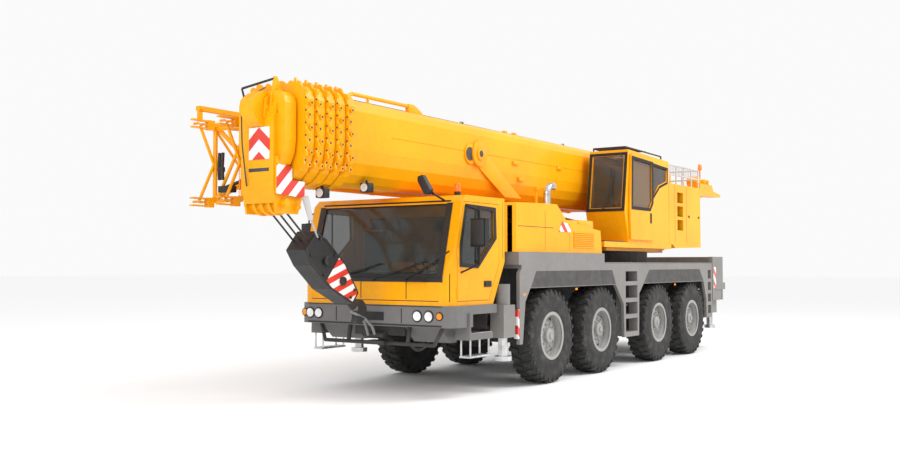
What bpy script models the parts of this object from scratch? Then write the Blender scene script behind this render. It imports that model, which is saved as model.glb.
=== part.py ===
"""Four-axle mobile crane: carrier, slewing superstructure and a six-part telescopic boom.

Metres, +Z up. The vehicle's front faces -Y and its left side is +X. Lengths along the vehicle are
counted from the first axle, and one empty shifts the whole machine so that the origin is on the
ground at the middle of its overall length.
"""

import math

import bmesh
import bpy
from mathutils import Matrix, Vector

# Overall
FRONT_TIP = -4.75
REAR_TIP = 7.63
MACHINE_CENTRE = (FRONT_TIP + REAR_TIP) / 2
HALF_WIDTH = 1.375
SEAT_GAP = 0.0004
RUNNING_GAP = 0.006

# Wheels, axles and steering
AXLE_PLACES = [0.0, 1.65, 4.0, 5.65]
TYRE_RADIUS = 0.685
TYRE_WIDTH = 0.375
RIM_RADIUS = 0.352
WHEEL_SIDES = 22
WHEEL_X = HALF_WIDTH - TYRE_WIDTH / 2
KINGPIN_X = 0.93
HUB_RECESS = 0.06
DRUM_RADIUS = 0.22
AXLE_HALF_HEIGHT = 0.10
EAR_THICKNESS = 0.03
EAR_RADIUS = 0.055

# Frame, deck and fairings
FRAME_HALF_WIDTH = 0.45
FRAME_BOTTOM = 0.95
DECK_BOTTOM = 1.66
DECK_TOP = 1.73
DECK_FRONT = -0.90
DECK_REAR = 6.765
FAIRING_TOP = 1.66 - SEAT_GAP
FAIRING_THICKNESS = 0.05
STEP_DEPTH = 0.16

# Outriggers
FRONT_OUTRIGGER = -1.20
REAR_OUTRIGGER = 7.13
OUTRIGGER_Z = 1.02
BEAM_HEIGHT = 0.26
BEAM_WIDTH = 0.17
BEAM_PITCH = 0.21
BOX_WALL = 0.018
END_PLATE_REACH = 0.205
END_PLATE_TOP = 1.19
FRONT_JACK = (HALF_WIDTH - 0.125, 1.45)
REAR_JACK = (HALF_WIDTH - 0.195, 1.22)
JACK_RADIUS = 0.10
FOOT_BOTTOM = 0.42

# Driver's cab
CAB_HALF_WIDTH = 1.25
CAB_FRONT = -2.455
CAB_REAR = -1.15
CAB_FLOOR = 1.19
CAB_ROOF = 2.61
CAB_WALL = 0.05
CAB_CORNER = 0.17
WINDSCREEN_BASE = 1.58
WINDSCREEN_HEAD = 2.50
CAB_LEAN = 0.25
MIRROR_ARM = CAB_HALF_WIDTH + 0.20
MIRROR_REACH = CAB_HALF_WIDTH + 0.31
CAB_BACK_KNEE = 1.75
CAB_UNDERCUT = 0.30
DOOR_FRONT = -2.30
DOOR_REAR = -1.30
DOOR_GAP = 0.006
HINGE_Y = DOOR_FRONT - DOOR_GAP / 2
HINGE_PIN = 0.014

# Engine housing
COVER_FRONT = -1.10
COVER_REAR = 1.74
COVER_HALF_WIDTH = 1.33
COVER_TOP = 2.60
COVER_WALL = 0.04
PLINTH_TOP = 1.89
COVER_RECESS = 1.55

# Superstructure
SLEW_Y = 4.15
RING_RADIUS = 1.0
RING_TOP = 1.95
PLATFORM_TOP = 2.09
SIDE_PLATE_X = 0.50
SIDE_PLATE = 0.05
OPERATOR_FRONT = 2.80
OPERATOR_REAR = 4.72
OPERATOR_INNER = 0.56
OPERATOR_OUTER = 1.28
OPERATOR_FLOOR = PLATFORM_TOP + SEAT_GAP
OPERATOR_ROOF = 3.68
OPERATOR_WALL = 0.04
HOUSING_REAR = 6.39
HOUSING_TOP = 3.23
HOUSING_BOTTOM = 2.02

# Boom
BOOM_PIVOT_Y = 6.95
BOOM_PIVOT_Z = 3.15
BOOM_HALF_WIDTH = 0.43
BOOM_BOTTOM = 2.70
BOOM_TOP = 3.77
BOOM_WALL = 0.010
SECTION_STEP = 0.028
BASE_FRONT = -3.58
COLLAR_PITCH = 0.178
COLLAR_LENGTH = 0.165
COLLAR_PROUD = 0.055
LUG_HEIGHT = 0.07
BOOM_REAR = 7.35
TELESCOPES = 5
HEAD_FRONT = -4.57
HEAD_HALF_WIDTH = 0.25
HEAD_BOTTOM = 2.30
CHEEK_REAR = -4.09
CHEEK_TOP = 2.635
PULLEY_RADIUS = 0.20
PULLEY_SIDES = 24
PULLEY_Y = FRONT_TIP + PULLEY_RADIUS
PULLEY_Z = 3.50

# Luffing cylinder
LUG_Y = 1.00
LUG_Z = 2.56
LUG_INNER = 0.10
CYLINDER_FOOT_Y = 4.80
CYLINDER_FOOT_Z = 2.26
BARREL_RADIUS = 0.15
BARREL_LENGTH = 3.40
ROD_RADIUS = 0.09

# Hook block: the line of its hoist ropes runs from the head's lower sheaves to the front bumper
SHEAVE_Y = -4.36
SHEAVE_Z = 2.44
SHEAVE_RADIUS = 0.16
SHEAVE_SIDES = 18
ROPE_PLACES = (-0.12, 0.0, 0.12)
ROPE_RADIUS = 0.012
HOOK_LEAN = math.radians(40.0)
BLOCK_TOP = 0.68
BLOCK_BOTTOM = 1.80

# Hoist winch
WINCH_Y = 5.95
WINCH_Z = 2.38

# Folding lattice jib, pinned along the boom's right side
JIB_INNER = -0.68
JIB_OUTER = -1.14
JIB_TOP = 3.47
JIB_BOTTOM = 2.80
JIB_FRONT = -3.70
JIB_POST = -4.17
JIB_TIP = -4.55
JIB_POST_TOP = 3.44
JIB_POST_BOTTOM = 2.48
JIB_REAR = 5.45
JIB_BAYS = 7
CHORD_RADIUS = 0.038
LACE_RADIUS = 0.022

YELLOW = ("crane_yellow", (0.93, 0.50, 0.01), 0.35, 0.0)
GREY = ("frame_grey", (0.30, 0.29, 0.28), 0.5, 0.0)
BUMPER_GREY = ("bumper_grey", (0.13, 0.13, 0.13), 0.5, 0.0)
DARK = ("chassis_dark", (0.03, 0.03, 0.03), 0.6, 0.2)
TYRE = ("tyre_rubber", (0.02, 0.02, 0.02), 0.85, 0.0)
STEEL = ("bright_steel", (0.6, 0.6, 0.6), 0.25, 1.0)
BLOCK_BLACK = ("block_black", (0.015, 0.015, 0.015), 0.4, 0.0)
SEAT_CLOTH = ("seat_cloth", (0.05, 0.05, 0.06), 0.9, 0.0)


def clear_scene():
    for obj in list(bpy.data.objects):
        bpy.data.objects.remove(obj, do_unlink=True)


def material(finish):
    name, colour, roughness, metallic = finish
    found = bpy.data.materials.get(name)
    if found:
        return found
    made = bpy.data.materials.new(name)
    made.use_nodes = True
    shader = made.node_tree.nodes["Principled BSDF"]
    shader.inputs["Base Color"].default_value = (*colour, 1.0)
    shader.inputs["Roughness"].default_value = roughness
    shader.inputs["Metallic"].default_value = metallic
    return made


def make_origin():
    """The empty on which the whole machine hangs: it lies on the ground under the first axle."""
    origin = bpy.data.objects.new("machine_origin", None)
    origin.location = (0.0, -MACHINE_CENTRE, 0.0)
    bpy.context.scene.collection.objects.link(origin)
    return origin


def mesh_of(name, bm, pivot):
    bmesh.ops.recalc_face_normals(bm, faces=bm.faces[:])
    bmesh.ops.translate(bm, vec=-Vector(pivot), verts=bm.verts[:])
    mesh = bpy.data.meshes.new(name)
    bm.to_mesh(mesh)
    bm.free()
    return mesh


def node(origin, name, bm, finish, pivot=(0.0, 0.0, 0.0), smooth=False):
    """One named sub-part. A moving piece gives the point on its joint's axis as its pivot."""
    mesh = mesh_of(name, bm, pivot)
    if smooth:
        mesh.shade_smooth()
        mesh.set_sharp_from_angle(angle=math.radians(40))
    obj = bpy.data.objects.new(name, mesh)
    obj.location = pivot
    obj.parent = origin
    obj.data.materials.append(material(finish))
    bpy.context.scene.collection.objects.link(obj)
    return obj


def combine(obj, bm, operation, label):
    """Joins shapes to a sub-part, or cuts them from it, with a hidden helper and a Boolean."""
    name = f"{obj.name}_{label}"
    helper = bpy.data.objects.new(name, mesh_of(name, bm, obj.location))
    helper.location = obj.location
    helper.parent = obj.parent
    helper.hide_render = True
    helper.display_type = "WIRE"
    bpy.context.scene.collection.objects.link(helper)
    boolean = obj.modifiers.new(label, "BOOLEAN")
    boolean.operation = operation
    boolean.object = helper
    boolean.use_self = True
    return obj


def join(obj, bm, label="joined"):
    return combine(obj, bm, "UNION", label)


def cut(obj, bm, label="cut"):
    return combine(obj, bm, "DIFFERENCE", label)


def add_box(bm, x, y, z):
    low = Vector((min(x), min(y), min(z)))
    high = Vector((max(x), max(y), max(z)))
    size = high - low
    place = Matrix.Translation((low + high) / 2) @ Matrix.Diagonal((*size, 1.0))
    bmesh.ops.create_cube(bm, size=1.0, matrix=place)


def add_prism(bm, outline, along, low, high):
    """A solid with this outline. Along X it is in (y, z), along Y in (x, z), along Z in (x, y)."""
    def point(a, b, depth):
        return {"X": (depth, a, b), "Y": (a, depth, b), "Z": (a, b, depth)}[along]

    base = [bm.verts.new(point(a, b, low)) for a, b in outline]
    face = bm.faces.new(base)
    grown = bmesh.ops.extrude_face_region(bm, geom=[face])
    verts = [item for item in grown["geom"] if isinstance(item, bmesh.types.BMVert)]
    bmesh.ops.translate(bm, vec=Vector(point(0, 0, high - low)), verts=verts)


def add_rod(bm, start, end, radius, sides=12, end_radius=None):
    start = Vector(start)
    end = Vector(end)
    turn = (end - start).to_track_quat("Z", "Y").to_matrix().to_4x4()
    bmesh.ops.create_cone(
        bm,
        cap_ends=True,
        segments=sides,
        radius1=radius,
        radius2=radius if end_radius is None else end_radius,
        depth=(end - start).length,
        matrix=Matrix.Translation((start + end) / 2) @ turn,
    )


def add_turned(bm, profile, sides, centre, axis="X"):
    """A turned solid: the profile is (distance along the axis, radius), and ends on the axis."""
    directions = {"X": (1, 0, 0), "Y": (0, 1, 0), "Z": (0, 0, 1)}
    outward = {"X": (0, 0, 1), "Y": (0, 0, 1), "Z": (1, 0, 0)}
    along = Vector(directions[axis])
    out = Matrix.Rotation(math.pi / sides, 3, along) @ Vector(outward[axis])
    spot = Vector(centre)
    rings = []
    for distance, radius in profile:
        if radius == 0:
            rings.append([bm.verts.new(spot + along * distance)])
            continue
        ring = []
        for i in range(sides):
            turn = Matrix.Rotation(2 * math.pi * i / sides, 3, along)
            ring.append(bm.verts.new(spot + along * distance + turn @ out * radius))
        rings.append(ring)
    for first, second in zip(rings, rings[1:]):
        for i in range(sides):
            j = (i + 1) % sides
            corners = [first[i % len(first)], first[j % len(first)]]
            corners += [second[j % len(second)], second[i % len(second)]]
            bm.faces.new(list(dict.fromkeys(corners)))


def add_loop_solid(bm, stations):
    """A hollow section along Y, closed on itself: each station is (y, outline in x and z)."""
    rings = [[bm.verts.new((x, y, z)) for x, z in outline] for y, outline in stations]
    for first, second in zip(rings, rings[1:] + rings[:1]):
        for i in range(len(first)):
            j = (i + 1) % len(first)
            bm.faces.new((first[i], first[j], second[j], second[i]))


def quarter(centre, radii, start, steps):
    """Points on a quarter of an ellipse, from the angle start in degrees, turning left."""
    points = []
    for i in range(steps + 1):
        angle = math.radians(start + 90 * i / steps)
        points.append((centre[0] + radii[0] * math.cos(angle), centre[1] + radii[1] * math.sin(angle)))
    return points


def rounded(half_x, low, high, radius, steps=3):
    """A rectangle in plan with its two front corners rounded."""
    front = quarter((-half_x + radius, low + radius), (radius, radius), 180, steps)
    front += quarter((half_x - radius, low + radius), (radius, radius), 270, steps)
    return front + [(half_x, high), (-half_x, high)]


def boom_outline(half_width, bottom, top):
    """The boom's section: round upper corners over a U-shaped underside with a narrow flat."""
    flat = 0.25 * half_width
    corner = 0.38 * half_width
    shoulder = bottom + 0.40 * (top - bottom)
    right = quarter((flat, shoulder), (half_width - flat, shoulder - bottom), 270, 4)
    right += quarter((half_width - corner, top - corner), (corner, corner), 0, 3)
    return right + [(-x, z) for x, z in reversed(right)]


def section_size(index):
    inset = index * SECTION_STEP
    return BOOM_HALF_WIDTH - inset, BOOM_BOTTOM + inset, BOOM_TOP - inset


# Carrier


def make_carrier_frame(origin):
    """Box frame under the deck, dropped below the cab, with both outrigger boxes welded across it."""
    bm = bmesh.new()
    add_box(bm, (-FRAME_HALF_WIDTH, FRAME_HALF_WIDTH), (-1.05, 7.40), (FRAME_BOTTOM, DECK_BOTTOM - SEAT_GAP))
    frame = node(origin, "carrier_frame", bm, DARK)
    bm = bmesh.new()
    add_box(bm, (-0.42, 0.42), (-2.30, -1.00), (0.78, 1.10))
    for centre, jack in ((FRONT_OUTRIGGER, FRONT_JACK), (REAR_OUTRIGGER, REAR_JACK)):
        reach = BEAM_PITCH + 0.02
        half = BEAM_HEIGHT / 2 + 0.04
        end = jack[0] - 0.13
        add_box(bm, (-end, end), (centre - reach, centre + reach), (OUTRIGGER_Z - half, OUTRIGGER_Z + half))
    add_box(bm, (-0.30, 0.30), (REAR_OUTRIGGER + 0.1, 7.45), (0.72, 1.0))
    join(frame, bm)
    bm = bmesh.new()
    for centre in (FRONT_OUTRIGGER, REAR_OUTRIGGER):
        for side in (1, -1):
            middle = centre + side * BEAM_PITCH / 2
            half_width = BEAM_WIDTH / 2 + RUNNING_GAP
            high = OUTRIGGER_Z + BEAM_HEIGHT / 2 + RUNNING_GAP
            low = OUTRIGGER_Z - BEAM_HEIGHT / 2 - SEAT_GAP
            add_box(bm, (-HALF_WIDTH, HALF_WIDTH), (middle - half_width, middle + half_width), (low, high))
    cut(frame, bm)


def make_deck(origin):
    """Deck plate over the whole frame, with the grey plinth of the engine housing on it."""
    bm = bmesh.new()
    add_box(bm, (-HALF_WIDTH, HALF_WIDTH), (DECK_FRONT, DECK_REAR), (DECK_BOTTOM, DECK_TOP))
    deck = node(origin, "deck", bm, GREY)
    bm = bmesh.new()
    add_box(bm, (-HALF_WIDTH, HALF_WIDTH), (COVER_FRONT + 0.12, COVER_REAR), (DECK_TOP - 0.02, PLINTH_TOP))
    join(deck, bm)


def make_bulkhead(origin):
    """Rear cross wall over the rear outriggers, with a bumper under it on each side."""
    bm = bmesh.new()
    add_box(bm, (-HALF_WIDTH, HALF_WIDTH), (6.80, 7.42), (1.28, 1.66 - 0.01))
    wall = node(origin, "rear_bulkhead", bm, GREY)
    bm = bmesh.new()
    for side in (1, -1):
        add_box(bm, (side * (HALF_WIDTH - 0.075), side * HALF_WIDTH), (6.80, 7.42), (0.99, 1.87))
    add_box(bm, (-HALF_WIDTH, HALF_WIDTH), (7.34, 7.42), (1.28, 1.87))
    add_box(bm, (-HALF_WIDTH, HALF_WIDTH), (7.42 - 0.04, 7.56), (1.20, 1.34))
    join(wall, bm)
    bm = bmesh.new()
    half = FRAME_HALF_WIDTH + SEAT_GAP
    add_box(bm, (-half, half), (6.70, 7.40 + SEAT_GAP), (1.0, 1.70))
    for side in (1, -1):
        reach = END_PLATE_REACH + RUNNING_GAP
        wide = (side * (REAR_JACK[0] + 0.10), side * (HALF_WIDTH + 0.025))
        add_box(
            bm, wide, (REAR_OUTRIGGER - reach, REAR_OUTRIGGER + reach),
            (0.9, END_PLATE_TOP + RUNNING_GAP),
        )
    cut(wall, bm)


def make_fairing(origin, side, name):
    """Side fairing: trapezoid fender plates and legs with a ladder between the axle pairs."""
    outline = [(-0.90, FAIRING_TOP), (-0.96, 1.60), (-0.96, 0.62), (-0.875, 0.62), (-0.80, 1.20)]
    outline += [(-0.66, 1.385), (2.16, 1.385), (2.47, 1.06), (2.49, 0.51), (3.09, 0.51), (3.11, 1.22)]
    outline += [
        (3.30, 1.385), (6.27, 1.385), (6.42, 1.02), (6.43, 0.66), (6.75, 0.66),
        (DECK_REAR, FAIRING_TOP),
    ]
    bm = bmesh.new()
    add_prism(bm, outline, "X", side * (HALF_WIDTH - FAIRING_THICKNESS), side * HALF_WIDTH)
    fairing = node(origin, name, bm, GREY)
    bm = bmesh.new()
    for z in (0.57, 0.86, 1.13, 1.41):
        add_box(
            bm, (side * (HALF_WIDTH - STEP_DEPTH), side * (HALF_WIDTH - 0.01)), (2.53, 3.05),
            (z - 0.045, z + 0.02),
        )
    for y in (2.53, 3.05):
        add_box(
            bm, (side * (HALF_WIDTH - STEP_DEPTH), side * (HALF_WIDTH - 0.01)),
            (y - 0.02, y + 0.02), (0.52, 1.65),
        )
    for z in (0.72, 0.95, 1.18, 1.41):
        add_box(
            bm, (side * (HALF_WIDTH - STEP_DEPTH), side * (HALF_WIDTH - 0.01)), (6.50, 6.72),
            (z - 0.045, z + 0.02),
        )
    add_box(bm, (side * (HALF_WIDTH - STEP_DEPTH), side * (HALF_WIDTH - 0.01)), (6.70, 6.74), (0.67, 1.65))
    add_box(bm, (side * (HALF_WIDTH - STEP_DEPTH), side * (HALF_WIDTH - 0.01)), (6.48, 6.52), (0.67, 1.65))
    join(fairing, bm)
    bm = bmesh.new()
    for z, top in ((0.592, 0.813), (0.882, 1.083), (1.152, 1.363), (1.432, 1.60)):
        add_box(bm, (side * 1.30, side * 1.40), (2.55, 3.03), (z, top))
    for z, top in ((0.742, 0.903), (0.972, 1.133), (1.202, 1.363), (1.432, 1.60)):
        add_box(bm, (side * 1.30, side * 1.40), (6.52, 6.70), (z, top))
    cut(fairing, bm)


def make_driver_cab(origin):
    """Hollow pressed cab over the front of the frame, with its windscreen, side and rear openings cut."""
    side_outline = [(CAB_FRONT, CAB_FLOOR), (CAB_FRONT, WINDSCREEN_BASE)]
    side_outline += [(CAB_FRONT + CAB_LEAN, WINDSCREEN_HEAD + 0.02), (CAB_FRONT + CAB_LEAN + 0.10, CAB_ROOF)]
    side_outline += [(CAB_REAR, CAB_ROOF), (CAB_REAR, CAB_BACK_KNEE), (CAB_REAR - CAB_UNDERCUT, CAB_FLOOR)]
    bm = bmesh.new()
    add_prism(bm, side_outline, "X", -CAB_HALF_WIDTH, CAB_HALF_WIDTH)
    cab = node(origin, "driver_cab", bm, YELLOW)
    bm = bmesh.new()
    plan = rounded(CAB_HALF_WIDTH, CAB_FRONT, CAB_REAR + 1, CAB_CORNER)
    add_prism(bm, plan, "Z", CAB_FLOOR - 0.5, CAB_ROOF + 0.5)
    combine(cab, bm, "INTERSECT", "corners")
    wall = CAB_WALL
    inside = [(CAB_FRONT + wall, CAB_FLOOR + wall), (CAB_FRONT + wall, WINDSCREEN_BASE)]
    inside += [
        (CAB_FRONT + CAB_LEAN + wall, WINDSCREEN_HEAD + 0.02),
        (CAB_FRONT + CAB_LEAN + 0.14, CAB_ROOF - wall),
    ]
    inside += [
        (CAB_REAR - wall, CAB_ROOF - wall), (CAB_REAR - wall, CAB_BACK_KNEE),
        (CAB_REAR - CAB_UNDERCUT - wall + 0.03, CAB_FLOOR + wall),
    ]
    bm = bmesh.new()
    add_prism(bm, inside, "X", -CAB_HALF_WIDTH + wall, CAB_HALF_WIDTH - wall)
    cut(cab, bm, "inside")
    bm = bmesh.new()
    wide = CAB_HALF_WIDTH - 0.20
    glass = [(-wide, WINDSCREEN_BASE), (wide, WINDSCREEN_BASE)]
    glass += [(wide - 0.02, WINDSCREEN_HEAD), (-wide + 0.02, WINDSCREEN_HEAD)]
    add_prism(bm, glass, "Y", -2.6, -2.08)
    cut(cab, bm, "windscreen")
    bm = bmesh.new()
    gap = DOOR_GAP
    add_prism(bm, door_outline(gap), "X", -CAB_HALF_WIDTH - 0.1, CAB_HALF_WIDTH + 0.1)
    cut(cab, bm, "doorways")
    bm = bmesh.new()
    add_box(
        bm, (-CAB_HALF_WIDTH + 0.40, CAB_HALF_WIDTH - 0.40), (CAB_REAR - 0.1, CAB_REAR + 0.1),
        (1.75, 2.40),
    )
    cut(cab, bm, "rear_window")
    bm = bmesh.new()
    for side in (1, -1):
        add_hinge_pins(bm, side, HINGE_PIN)
    join(cab, bm, "hinges")


def add_hinge_pins(bm, side, radius):
    """The two hinge barrels on each door's front edge."""
    for z in (1.36, 1.86):
        low = z - 0.06 - (radius - HINGE_PIN)
        high = z + 0.06 + (radius - HINGE_PIN)
        add_rod(bm, (side * CAB_HALF_WIDTH, HINGE_Y, low), (side * CAB_HALF_WIDTH, HINGE_Y, high), radius, 12)


def door_outline(grow=0.0):
    return [
        (DOOR_FRONT - grow, CAB_FLOOR + 0.06 - grow),
        (DOOR_REAR - 0.25 + grow, CAB_FLOOR + 0.06 - grow),
        (DOOR_REAR + grow, CAB_BACK_KNEE - 0.02 - grow),
        (DOOR_REAR + grow, 2.52 + grow),
        (DOOR_FRONT + 0.14 - grow, 2.52 + grow),
        (DOOR_FRONT - grow, 1.95),
    ]


def make_cab_door(origin, side, name):
    bm = bmesh.new()
    add_prism(bm, door_outline(), "X", side * (CAB_HALF_WIDTH - CAB_WALL), side * CAB_HALF_WIDTH)
    door = node(origin, name, bm, YELLOW, pivot=(side * CAB_HALF_WIDTH, HINGE_Y, 1.9))
    window = [
        (DOOR_FRONT + 0.08, 1.72), (-1.84, 1.70), (-1.40, 2.08), (-1.42, 2.44),
        (DOOR_FRONT + 0.20, 2.46), (DOOR_FRONT + 0.08, 1.98),
    ]
    bm = bmesh.new()
    add_prism(bm, window, "X", side * (CAB_HALF_WIDTH - 0.2), side * (CAB_HALF_WIDTH + 0.1))
    add_hinge_pins(bm, side, HINGE_PIN + 0.0005)
    cut(door, bm)
    bm = bmesh.new()
    add_box(bm, (side * (CAB_HALF_WIDTH + 0.09), side * MIRROR_REACH), (-2.14, -2.05), (1.94, 2.30))
    add_rod(bm, (side * (CAB_HALF_WIDTH - 0.02), -2.13, 2.485), (side * MIRROR_ARM, -2.10, 2.40), 0.012, 6)
    add_rod(bm, (side * MIRROR_ARM, -2.10, 2.405), (side * MIRROR_ARM, -2.10, 2.25), 0.012, 6)
    add_rod(bm, (side * (CAB_HALF_WIDTH - 0.02), -2.24, 1.60), (side * MIRROR_ARM, -2.10, 1.72), 0.012, 6)
    add_rod(bm, (side * MIRROR_ARM, -2.10, 1.715), (side * MIRROR_ARM, -2.10, 1.98), 0.012, 6)
    join(door, bm, "mirror")


def make_cab_interior(origin):
    """Dashboard and the two seats on their floor plinth."""
    floor = CAB_FLOOR + CAB_WALL + SEAT_GAP
    bm = bmesh.new()
    add_box(bm, (-CAB_HALF_WIDTH + 0.15, CAB_HALF_WIDTH - 0.15), (-2.38, -1.50), (floor, floor + 0.03))
    inside = node(origin, "cab_interior", bm, SEAT_CLOTH)
    bm = bmesh.new()
    add_prism(
        bm,
        [(-2.38, floor + 0.01), (-2.385, 1.56), (-2.20, 1.62), (-2.08, 1.50), (-2.10, floor + 0.01)],
        "X", -CAB_HALF_WIDTH + 0.20, CAB_HALF_WIDTH - 0.20,
    )
    for x in (-0.62, 0.62):
        add_box(bm, (x - 0.22, x + 0.22), (-2.00, -1.52), (floor + 0.01, 1.62))
        add_box(bm, (x - 0.23, x + 0.23), (-1.62, -1.50), (1.55, 2.20))
        add_box(bm, (x - 0.13, x + 0.13), (-1.60, -1.52), (2.15, 2.38))
    join(inside, bm)


def make_front_bumper(origin):
    """Grey bumper wrapped round the cab's foot, with the sill bands, valance and step brackets."""
    bm = bmesh.new()
    plan = rounded(CAB_HALF_WIDTH + 0.06, CAB_FRONT - 0.01, CAB_FRONT + 0.42, CAB_CORNER + 0.02)
    add_prism(bm, plan, "Z", 0.915, CAB_FLOOR - SEAT_GAP)
    bumper = node(origin, "front_bumper", bm, BUMPER_GREY)
    bm = bmesh.new()
    for side in (1, -1):
        add_box(
            bm, (side * (CAB_HALF_WIDTH - 0.05), side * (CAB_HALF_WIDTH + 0.05)),
            (CAB_FRONT + 0.30, -1.44), (1.075, CAB_FLOOR - SEAT_GAP),
        )
        arm = [
            (CAB_FRONT + 0.30, 0.95), (-2.16, 0.75), (-1.60, 0.75), (-1.60, 0.83), (-2.12, 0.83),
            (CAB_FRONT + 0.30, 1.10),
        ]
        add_prism(bm, arm, "X", side * (CAB_HALF_WIDTH - 0.13), side * (CAB_HALF_WIDTH + 0.09))
    add_prism(bm, [(CAB_FRONT + 0.12, 0.93), (-2.10, 0.70), (-1.95, 0.70), (-1.95, 0.93)], "X", -1.0, 1.0)
    join(bumper, bm)
    bm = bmesh.new()
    add_box(bm, (-0.42 - SEAT_GAP, 0.42 + SEAT_GAP), (-2.30 - SEAT_GAP, -1.0), (0.5, 1.10 + SEAT_GAP))
    cut(bumper, bm)


def make_engine_cover(origin):
    """Sheet-metal engine housing, open below, lower at the back where the superstructure sweeps."""
    def outline(inset, rear=COVER_REAR):
        return [
            (COVER_FRONT + inset, PLINTH_TOP + SEAT_GAP - (0.2 if inset else 0)),
            (COVER_FRONT + inset, COVER_TOP - 0.03 - inset),
            (0.02, COVER_TOP - inset),
            (0.22 - inset, COVER_TOP - inset),
            (0.52 - inset, 2.37 - inset),
            (rear - 0.05 - inset, 2.25 - inset),
            (rear - inset, PLINTH_TOP + SEAT_GAP - (0.2 if inset else 0)),
        ]

    bm = bmesh.new()
    add_prism(bm, outline(0.0), "X", -COVER_HALF_WIDTH, COVER_HALF_WIDTH)
    cover = node(origin, "engine_cover", bm, YELLOW)
    bm = bmesh.new()
    chamfer = 0.13
    half = COVER_HALF_WIDTH
    plan = [
        (-half + chamfer, COVER_FRONT), (half - chamfer, COVER_FRONT),
        (half, COVER_FRONT + chamfer), (half, 3), (-half, 3), (-half, COVER_FRONT + chamfer),
    ]
    add_prism(bm, plan, "Z", 1.5, 3.0)
    combine(cover, bm, "INTERSECT", "corners")
    bm = bmesh.new()
    add_prism(bm, outline(COVER_WALL, COVER_RECESS), "X", -half + COVER_WALL, half - COVER_WALL)
    cut(cover, bm)
    bm = bmesh.new()
    add_box(bm, (-0.97, 0.97), (COVER_RECESS, COVER_REAR + 0.1), (1.94, 2.6))
    cut(cover, bm, "sweep")


def make_engine_block(origin):
    bm = bmesh.new()
    add_box(bm, (-0.40, 0.40), (-0.85, 0.15), (PLINTH_TOP + SEAT_GAP, 2.45))
    node(origin, "engine_block", bm, DARK)


# Running gear


def make_axle(origin, number, y):
    """Beam with its drive housing, two short suspension struts and a forked end at each kingpin."""
    centre = TYRE_RADIUS
    ear_low = AXLE_HALF_HEIGHT
    bm = bmesh.new()
    add_turned(
        bm, [(-0.26, 0), (-0.26, 0.12), (-0.12, 0.22), (0.12, 0.22), (0.26, 0.12), (0.26, 0)], 12,
        (0, y, centre),
    )
    axle = node(origin, f"axle_{number}", bm, DARK)
    bm = bmesh.new()
    add_box(bm, (-0.85, 0.85), (y - 0.075, y + 0.075), (centre - 0.125, centre + 0.125))
    for side in (1, -1):
        for low in (ear_low, -ear_low - EAR_THICKNESS):
            z = centre + low
            add_box(
                bm, (side * 0.83, side * KINGPIN_X), (y - EAR_RADIUS, y + EAR_RADIUS),
                (z, z + EAR_THICKNESS),
            )
            add_rod(
                bm, (side * KINGPIN_X, y, z + 0.0005),
                (side * KINGPIN_X, y, z + EAR_THICKNESS - 0.0005), EAR_RADIUS, 8,
            )
        add_rod(bm, (side * 0.34, y, centre + 0.05), (side * 0.34, y, FRAME_BOTTOM - SEAT_GAP), 0.06, 8)
    join(axle, bm)


def make_knuckle(origin, number, y, side, name):
    """Kingpin boss with the stub axle and the brake drum that the wheel turns on."""
    x = side * KINGPIN_X
    centre = TYRE_RADIUS
    half = AXLE_HALF_HEIGHT - SEAT_GAP
    drum_outer = WHEEL_X - HUB_RECESS - SEAT_GAP
    bm = bmesh.new()
    add_rod(bm, (x, y, centre - half), (x, y, centre + half), 0.05, 12)
    knuckle = node(origin, name, bm, DARK, pivot=(x, y, centre))
    bm = bmesh.new()
    add_rod(bm, (side * (KINGPIN_X + 0.072), y, centre), (side * drum_outer, y, centre), DRUM_RADIUS, 16)
    add_box(bm, (x, side * (KINGPIN_X + 0.09)), (y - 0.045, y + 0.045), (centre - 0.07, centre + 0.07))
    join(knuckle, bm)


def make_wheel(origin, number, y, side, name):
    """Tyre and dished rim in one turned piece, its flats ground to the tyre's rolling radius."""
    grow = 1 / math.cos(math.pi / WHEEL_SIDES)
    half = TYRE_WIDTH / 2
    profile = [
        (-HUB_RECESS, 0),
        (-HUB_RECESS, 0.27),
        (-half, RIM_RADIUS),
        (-half, TYRE_RADIUS - 0.085),
        (-half + 0.06, TYRE_RADIUS),
        (half - 0.06, TYRE_RADIUS),
        (half, TYRE_RADIUS - 0.085),
        (half, RIM_RADIUS),
        (0.02, 0.28),
        (0.03, 0.15),
        (0.12, 0.13),
        (0.125, 0),
    ]
    turned = [(side * distance, radius * grow) for distance, radius in profile]
    bm = bmesh.new()
    add_turned(bm, turned, WHEEL_SIDES, (side * WHEEL_X, y, TYRE_RADIUS))
    node(origin, name, bm, TYRE, pivot=(side * WHEEL_X, y, TYRE_RADIUS), smooth=True)


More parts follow.
